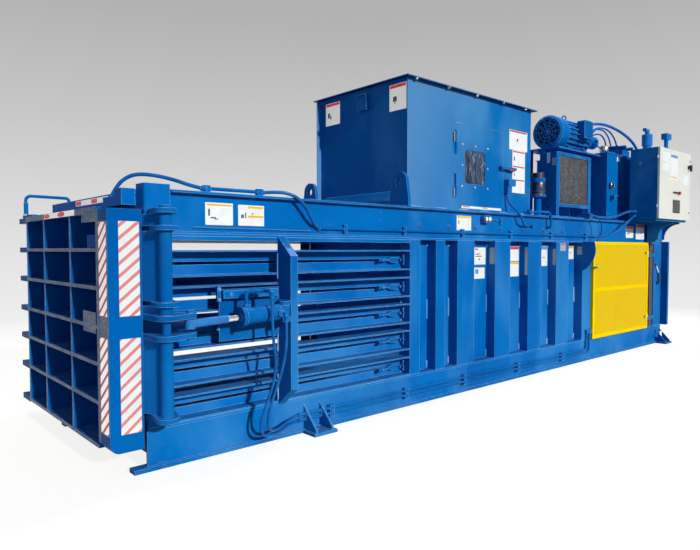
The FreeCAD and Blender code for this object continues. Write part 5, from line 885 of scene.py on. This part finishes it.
wear_y = -607
Shape().slab((2590, wear_y, 236), (2683, wear_y + 1, 1278), 2).piece("wear_strip_face", worn_plate())
wear_bolts = Shape()
for z in (300, 520, 740, 960, 1180):
    wear_bolts.dome((2636, wear_y, z), near, 9, 3)
wear_bolts.piece("wear_strip_bolts", black)

guard_rivets = Shape()
for z in (1148, 360):
    guard_rivets.slab((2346, -650, z - 4), (2378, -646.2, z + 28), 3)
guard_rivets.piece("guard_rivets", rust, "side_guard")

loop = bent([(2725, -626, 1020), (2760, -632, 960), (2800, -634, 900), (2832, -632, 800),
             (2810, -628, 762), (2776, -626, 768), (2770, -626, 800)], 40)
Shape().tube(loop, 9, 10).piece("loop_handle", black)
sleeve = bent([(2740, -629, 994), (2764, -633, 955), (2792, -635, 912)], 40)
Shape().tube(sleeve, 11).piece("loop_handle_sleeve", white)

# ---- hopper door: hinge wear, the latch's tip and the switch's sensor

hinge_wear = Shape()
for z0, z1 in ((2108, 2196), (1648, 1720)):
    hinge_wear.slab((-1284, -548, z0), (-1268, -545, z1), 3, 1, 1)
hinge_wear.piece("hinge_wear", zinc)
tip = [(x, -568, 1938) for x in (-500, -496, -420, -412)]
Shape().tube(tip, 10, 14).piece("latch_tip", red, "hopper_door_latch")
sensor = Shape().turned([(16, 0), (18, 2), (18, 20), (12, 24)], (-470, -560, 1800), near, 20)
sensor.piece("switch_sensor", white)

# ---- sleeve and collar on the end pipe's leg

pipe_x, pipe_y = -4157, 1040
leg = [(pipe_x, pipe_y, 1458 + 9 * i) for i in range(10)]
Shape().tube(leg, 15, 16).piece("end_pipe_sleeve", blue_part)
collar = Shape().turned([(15, 0), (20, 2), (20, 16), (15, 18)], (pipe_x, pipe_y, 1441), up, 28)
collar.piece("end_pipe_collar", zinc)

# ---- dark pictogram shapes on the labels, without any lettering: (a, z, width, height)

marks = Shape()
side_marks = (
    (beam_y, ((-3600, 1398, 12, 40), (-3584, 1384, 34, 8), (-3560, 1378, 26, 6), (-3380, 1392, 20, 22),
              (-3352, 1392, 8, 34), (-1288, 1420, 12, 26))),
    (hopper_y, ((-330, 2222, 22, 26), (-376, 2040, 20, 38), (-370, 1900, 12, 20), (-372, 1800, 14, 28))),
    (panel_y, ((-945, 1160, 60, 8), (-945, 1140, 90, 8), (-900, 1110, 20, 14), (180, 1120, 34, 8),
               (705, 1165, 40, 8))),
    (beam_y, ((2200, 1395, 60, 10), (2300, 1400, 60, 10), (1940, 1390, 60, 8))),
)
for face, places in side_marks:
    for x, z, width, height in places:
        marks.slab((x, face - 1.4, z), (x + width, face - 1, z + height), 2)
for y, z, width, height in ((400, 2372, 26, 44), (380, 2360, 16, 30), (-420, 2372, 40, 40),
                            (-408, 2356, 16, 10)):
    marks.slab((hopper_x - 1.2, y, z), (hopper_x - 0.8, y + width, z + height), 3, 0)
marks.piece("label_marks", mark_grey)

# ---- twin lamp on the beam, and the line to it

lamp_x, lamp_y, lamp_z, lamp_r = (-959, -911), -650, 1468, 22
lamp_span = lamp_x[1] - lamp_x[0]
lens, rim = Shape(), Shape()
for x in lamp_x:
    lens.turned([(17, 0), (19, 1), (19, 4), (12, 7), (2, 8)], (x, lamp_y, lamp_z), near, 24)


def rim_bar(z):
    rim.tube([(lamp_x[0] + lamp_span * i / 6, lamp_y - 1, z) for i in range(7)], 4.5, 8)


rim_bar(lamp_z + lamp_r)
for x, sign in zip(lamp_x, (-1, 1)):
    rim.tube([(x + sign * lamp_r * sin(pi * i / 10), lamp_y - 1,
               lamp_z + lamp_r * cos(pi * i / 10)) for i in range(11)], 4.5, 8)
rim_bar(lamp_z - lamp_r)
lens.piece("lamp_lens", white)
rim.piece("lamp_rim", black)
lamp_line = Shape()
lamp_line.tube([(-880, line_y, 1470), (-830, line_y, 1470), (-770, line_y, 1466), (-700, line_y, 1462)],
               line_r, 10)
lamp_line.slab((-704, rail_y - 2, 1440), (-672, beam_y, 1484), 5, 1, 2)
lamp_line.tube([(-688, line_y, 1440), (-688, line_y, 1420), (-680, line_y, 1402), (-660, line_y, 1392)],
               line_r, 10)
lamp_line.piece("lamp_line", blue_part)

# ---- filters, and the gauge and plugs on the tank

filter_x, filter_r, flange_r = 356, 79, 86.5
filter_black, filter_silver = Shape(), Shape()
for y in (-350, -170):
    filter_black.turned([(60, 0), (67.2, 2), (67.2, 52), (60, 56.5), (20, 57)], (filter_x, y, 1944), up, 40)
    filter_black.turned([(filter_r, 0), (filter_r, 24)], (filter_x, y, 1780), up, 40)
    filter_silver.turned([(78.8, 0), (79.2, 1), (79.2, 88), (78.8, 89)], (filter_x, y, 1812), up, 40)
    filter_silver.turned([(flange_r, 0), (87, 1.5), (87, 8), (flange_r, 9)], (filter_x, y, 1762), up, 40)
filter_black.piece("filter_caps", black)
filter_silver.piece("filter_bands", silver_band)

gauge_x, gauge_z = 1700, 1960
gauge = Shape().turned([(30, 0), (37, 1), (38, 4), (38, 10), (33, 13), (31, 11), (31, 9)],
                       (gauge_x, -517, gauge_z), near, 40)
gauge.piece("gauge_rim", zinc)
dial = Shape().turned([(30, 0), (31, 0.5), (31, 2.5), (30, 3)], (gauge_x, -523, gauge_z), near, 32)
dial.piece("gauge_dial", label_colours["blue"])
plugs = Shape()
for x, z, size in ((1700, 1905, 16), (1745, 1880, 12), (1660, 1600, 20), (2000, 1640, 14)):
    plugs.hex_bolt((x, tank_y, z), near, size)
plugs.piece("tank_plugs", blue_part)

# ---- motor: rim, bolts and end nut of the fan cover, and the junction box's cover

rim_r, cover_bolt_r, cover_bolts = 179, 152, 8
motor_trim = Shape()
motor_trim.tube([(713, motor_y + rim_r * cos(2 * pi * i / 64),
                  motor_z + rim_r * sin(2 * pi * i / 64)) for i in range(65)], 2.4, 8)
for i in range(cover_bolts):
    angle = pi / 8 + pi / 4 * i
    motor_trim.dome((motor_x, motor_y + cover_bolt_r * cos(angle),
                     motor_z + cover_bolt_r * sin(angle)), back, 6, 3.5)
motor_trim.hex_bolt((motor_x, motor_y, motor_z), back, 12)
motor_trim.piece("motor_trim", blue_part)

junction_y = -480.2
junction_cover = Shape()
for x in (1103, 1267):
    for z in (2458, 2622):
        junction_cover.dome((x, junction_y, z), near, 6, 3.5)
junction_cover.slab((1092, -483, 2447), (1278, junction_y, 2633), 20, 1, 1.2)
junction_cover.piece("junction_cover", blue_part)

# ---- rigid pipes and breather on the tank's lid: (pipe radius, bend radius, corners)

lid_pipes = Shape()
for radius, bend, corners in (
        (9, 80, [(1600, -300, 2560), (1680, -320, 2640), (1850, -340, 2640), (1960, -350, 2560),
                 (2010, -352, 2460), (2060, -352, 2440)]),
        (9, 70, [(1600, -260, 2520), (1700, -300, 2585), (1830, -318, 2590), (1920, -325, 2520),
                 (1930, -330, 2425), (1960, -335, 2400), (2030, -340, 2396)]),
        (8, 50, [(1590, -340, 2470), (1700, -350, 2420), (1800, -350, 2400), (1900, -380, 2380),
                 (2032, -390, 2385)]),
        (9, 40, [(2330, -320, 2390), (2420, -320, 2390), (2470, -300, 2430), (2560, -280, 2400),
                 (2560, -280, 2340)])):
    lid_pipes.tube(bent(corners, bend), radius, 12)
for place, axis, size in (((2060, -352, 2440), up, 14), ((2030, -340, 2396), back, 13),
                          ((2032, -390, 2385), back, 13), ((2330, -320, 2390), along, 13),
                          ((1850, -350, 2339), up, 22), ((1780, -300, 2339), up, 18)):
    lid_pipes.hex_bolt(place, axis, size, False)
lid_pipes.piece("lid_pipes", blue_part)
cap = [(34, 0), (36, 2), (36, 44), (50, 48), (52, 52), (52, 108), (46, 118), (12, 121)]
Shape().turned(cap, (1877, -330, 2338), up, 36).piece("breather_cap", zinc)

# ---- display on the control enclosure's door

Shape().slab((2296, -978.6, 1641), (2504, -977.4, 1794), 6).piece("display_rim", black, "control_door")
glass = Shape().slab((2312, -979.4, 1657), (2488, -978.4, 1778), 5)
glass.piece("display_glass", glossy_black, "control_door")

# ---- floor, background and light

floor_radius, fade_from, fade_to = 14.0, 4.6, 8.5
sky_reach = 0.42            # sine of the angle above and below the horizon that the stops span
sky_stops = ((0.0, 255), (0.149, 253), (0.283, 246), (0.5, 227), (0.732, 199), (0.92, 178))


def floor_look():
    """White floor that keeps the shadow and fades into the background far out."""
    look = Look("floor_white")
    soft = look.noise(0.8, 2.0)
    look.color = look.mix(look.ramp(soft, 0.3, 0.7), (0.20, 0.20, 0.20, 1), (0.22, 0.22, 0.22, 1))
    look.set(rough=look.ramp(soft, 0.3, 0.7, 0.6, 0.7), specular=0.2)
    glow = look.node("Emission", {"Color": (1, 0.99, 0.97, 1), "Strength": look.times(look.seen(), 0.86)})
    both = look.node("AddShader", {0: look.shader.outputs[0], 1: glow.outputs[0]})
    flat = look.node("Mapping", {"Vector": look.place, "Scale": (1, 1, 0)}).outputs[0]
    far = look.node("VectorMath", {0: flat}, operation="LENGTH").outputs["Value"]
    clear = look.node("BsdfTransparent")
    made = look.node("MixShader", {0: look.ramp(far, fade_from, fade_to), 1: both.outputs[0],
                                   2: clear.outputs[0]})
    look.put(look.tree.nodes["Material Output"].inputs["Surface"], made.outputs[0])
    return look.material


def make_floor():
    mesh = bmesh.new()
    bmesh.ops.create_circle(mesh, cap_ends=True, segments=96, radius=floor_radius)
    data = bpy.data.meshes.new("floor")
    mesh.to_mesh(data)
    mesh.free()
    data.materials.append(floor_look())
    made = add_object("floor", data)
    made.location = (0, 0, -0.001)


def make_world():
    """Grey above, white below the horizon for what the camera sees; an even pale light for the rest."""
    world = bpy.data.worlds.new("studio")
    scene.world = world
    world.use_nodes = True
    world.node_tree.nodes.clear()
    net = Nodes(world.node_tree)
    sight = net.node("TexCoord").outputs["Generated"]
    height = net.node("SeparateXYZ", {0: sight}).outputs[2]
    sky = net.node("ValToRGB", {0: net.ramp(height, -sky_reach, sky_reach)})
    elements = sky.color_ramp.elements
    for i, (place, grey) in enumerate(sky_stops):
        element = elements[i] if i < 2 else elements.new(place)
        element.position = place
        element.color = rgb(grey, grey, grey)
    shown = net.node("Background", {"Color": sky.outputs[0], "Strength": 1.0})
    light = net.node("Background", {"Color": (0.50, 0.75, 1.0, 1), "Strength": 0.22})
    pick = net.node("MixShader", {0: net.seen(), 1: light.outputs[0], 2: shown.outputs[0]})
    net.node("OutputWorld", {"Surface": pick.outputs[0]})


def make_lamp(name, kind, target, power, color=(1, 1, 1), place=(0, 0, 0), **settings):
    """A lamp at its place, turned to its target."""
    data = bpy.data.lights.new(name, kind)
    data.energy = power
    data.color = color
    for key, value in settings.items():
        setattr(data, key, value)
    lamp = add_object(name, data)
    lamp.location = place
    lamp.rotation_euler = (Vector(target) - Vector(place)).to_track_quat("-Z", "Y").to_euler()


make_floor()
make_world()
# Hard light from the side that faces the camera; the discharge end stays in its own shade
make_lamp("key", "SUN", (0.035, 1.0, -0.40), 3.1, (1.0, 0.99, 0.96), angle=radians(2.0))
make_lamp("top", "AREA", (-0.2, 0, 1.0), 620, place=(2.4, 0.5, 9.5), size=2.5)
make_lamp("front", "AREA", (-4.0, 0.0, 1.0), 60, (0.55, 0.78, 1.0), (-11.0, -1.5, 2.4), size=3.0)
scene.view_settings.view_transform = "Standard"
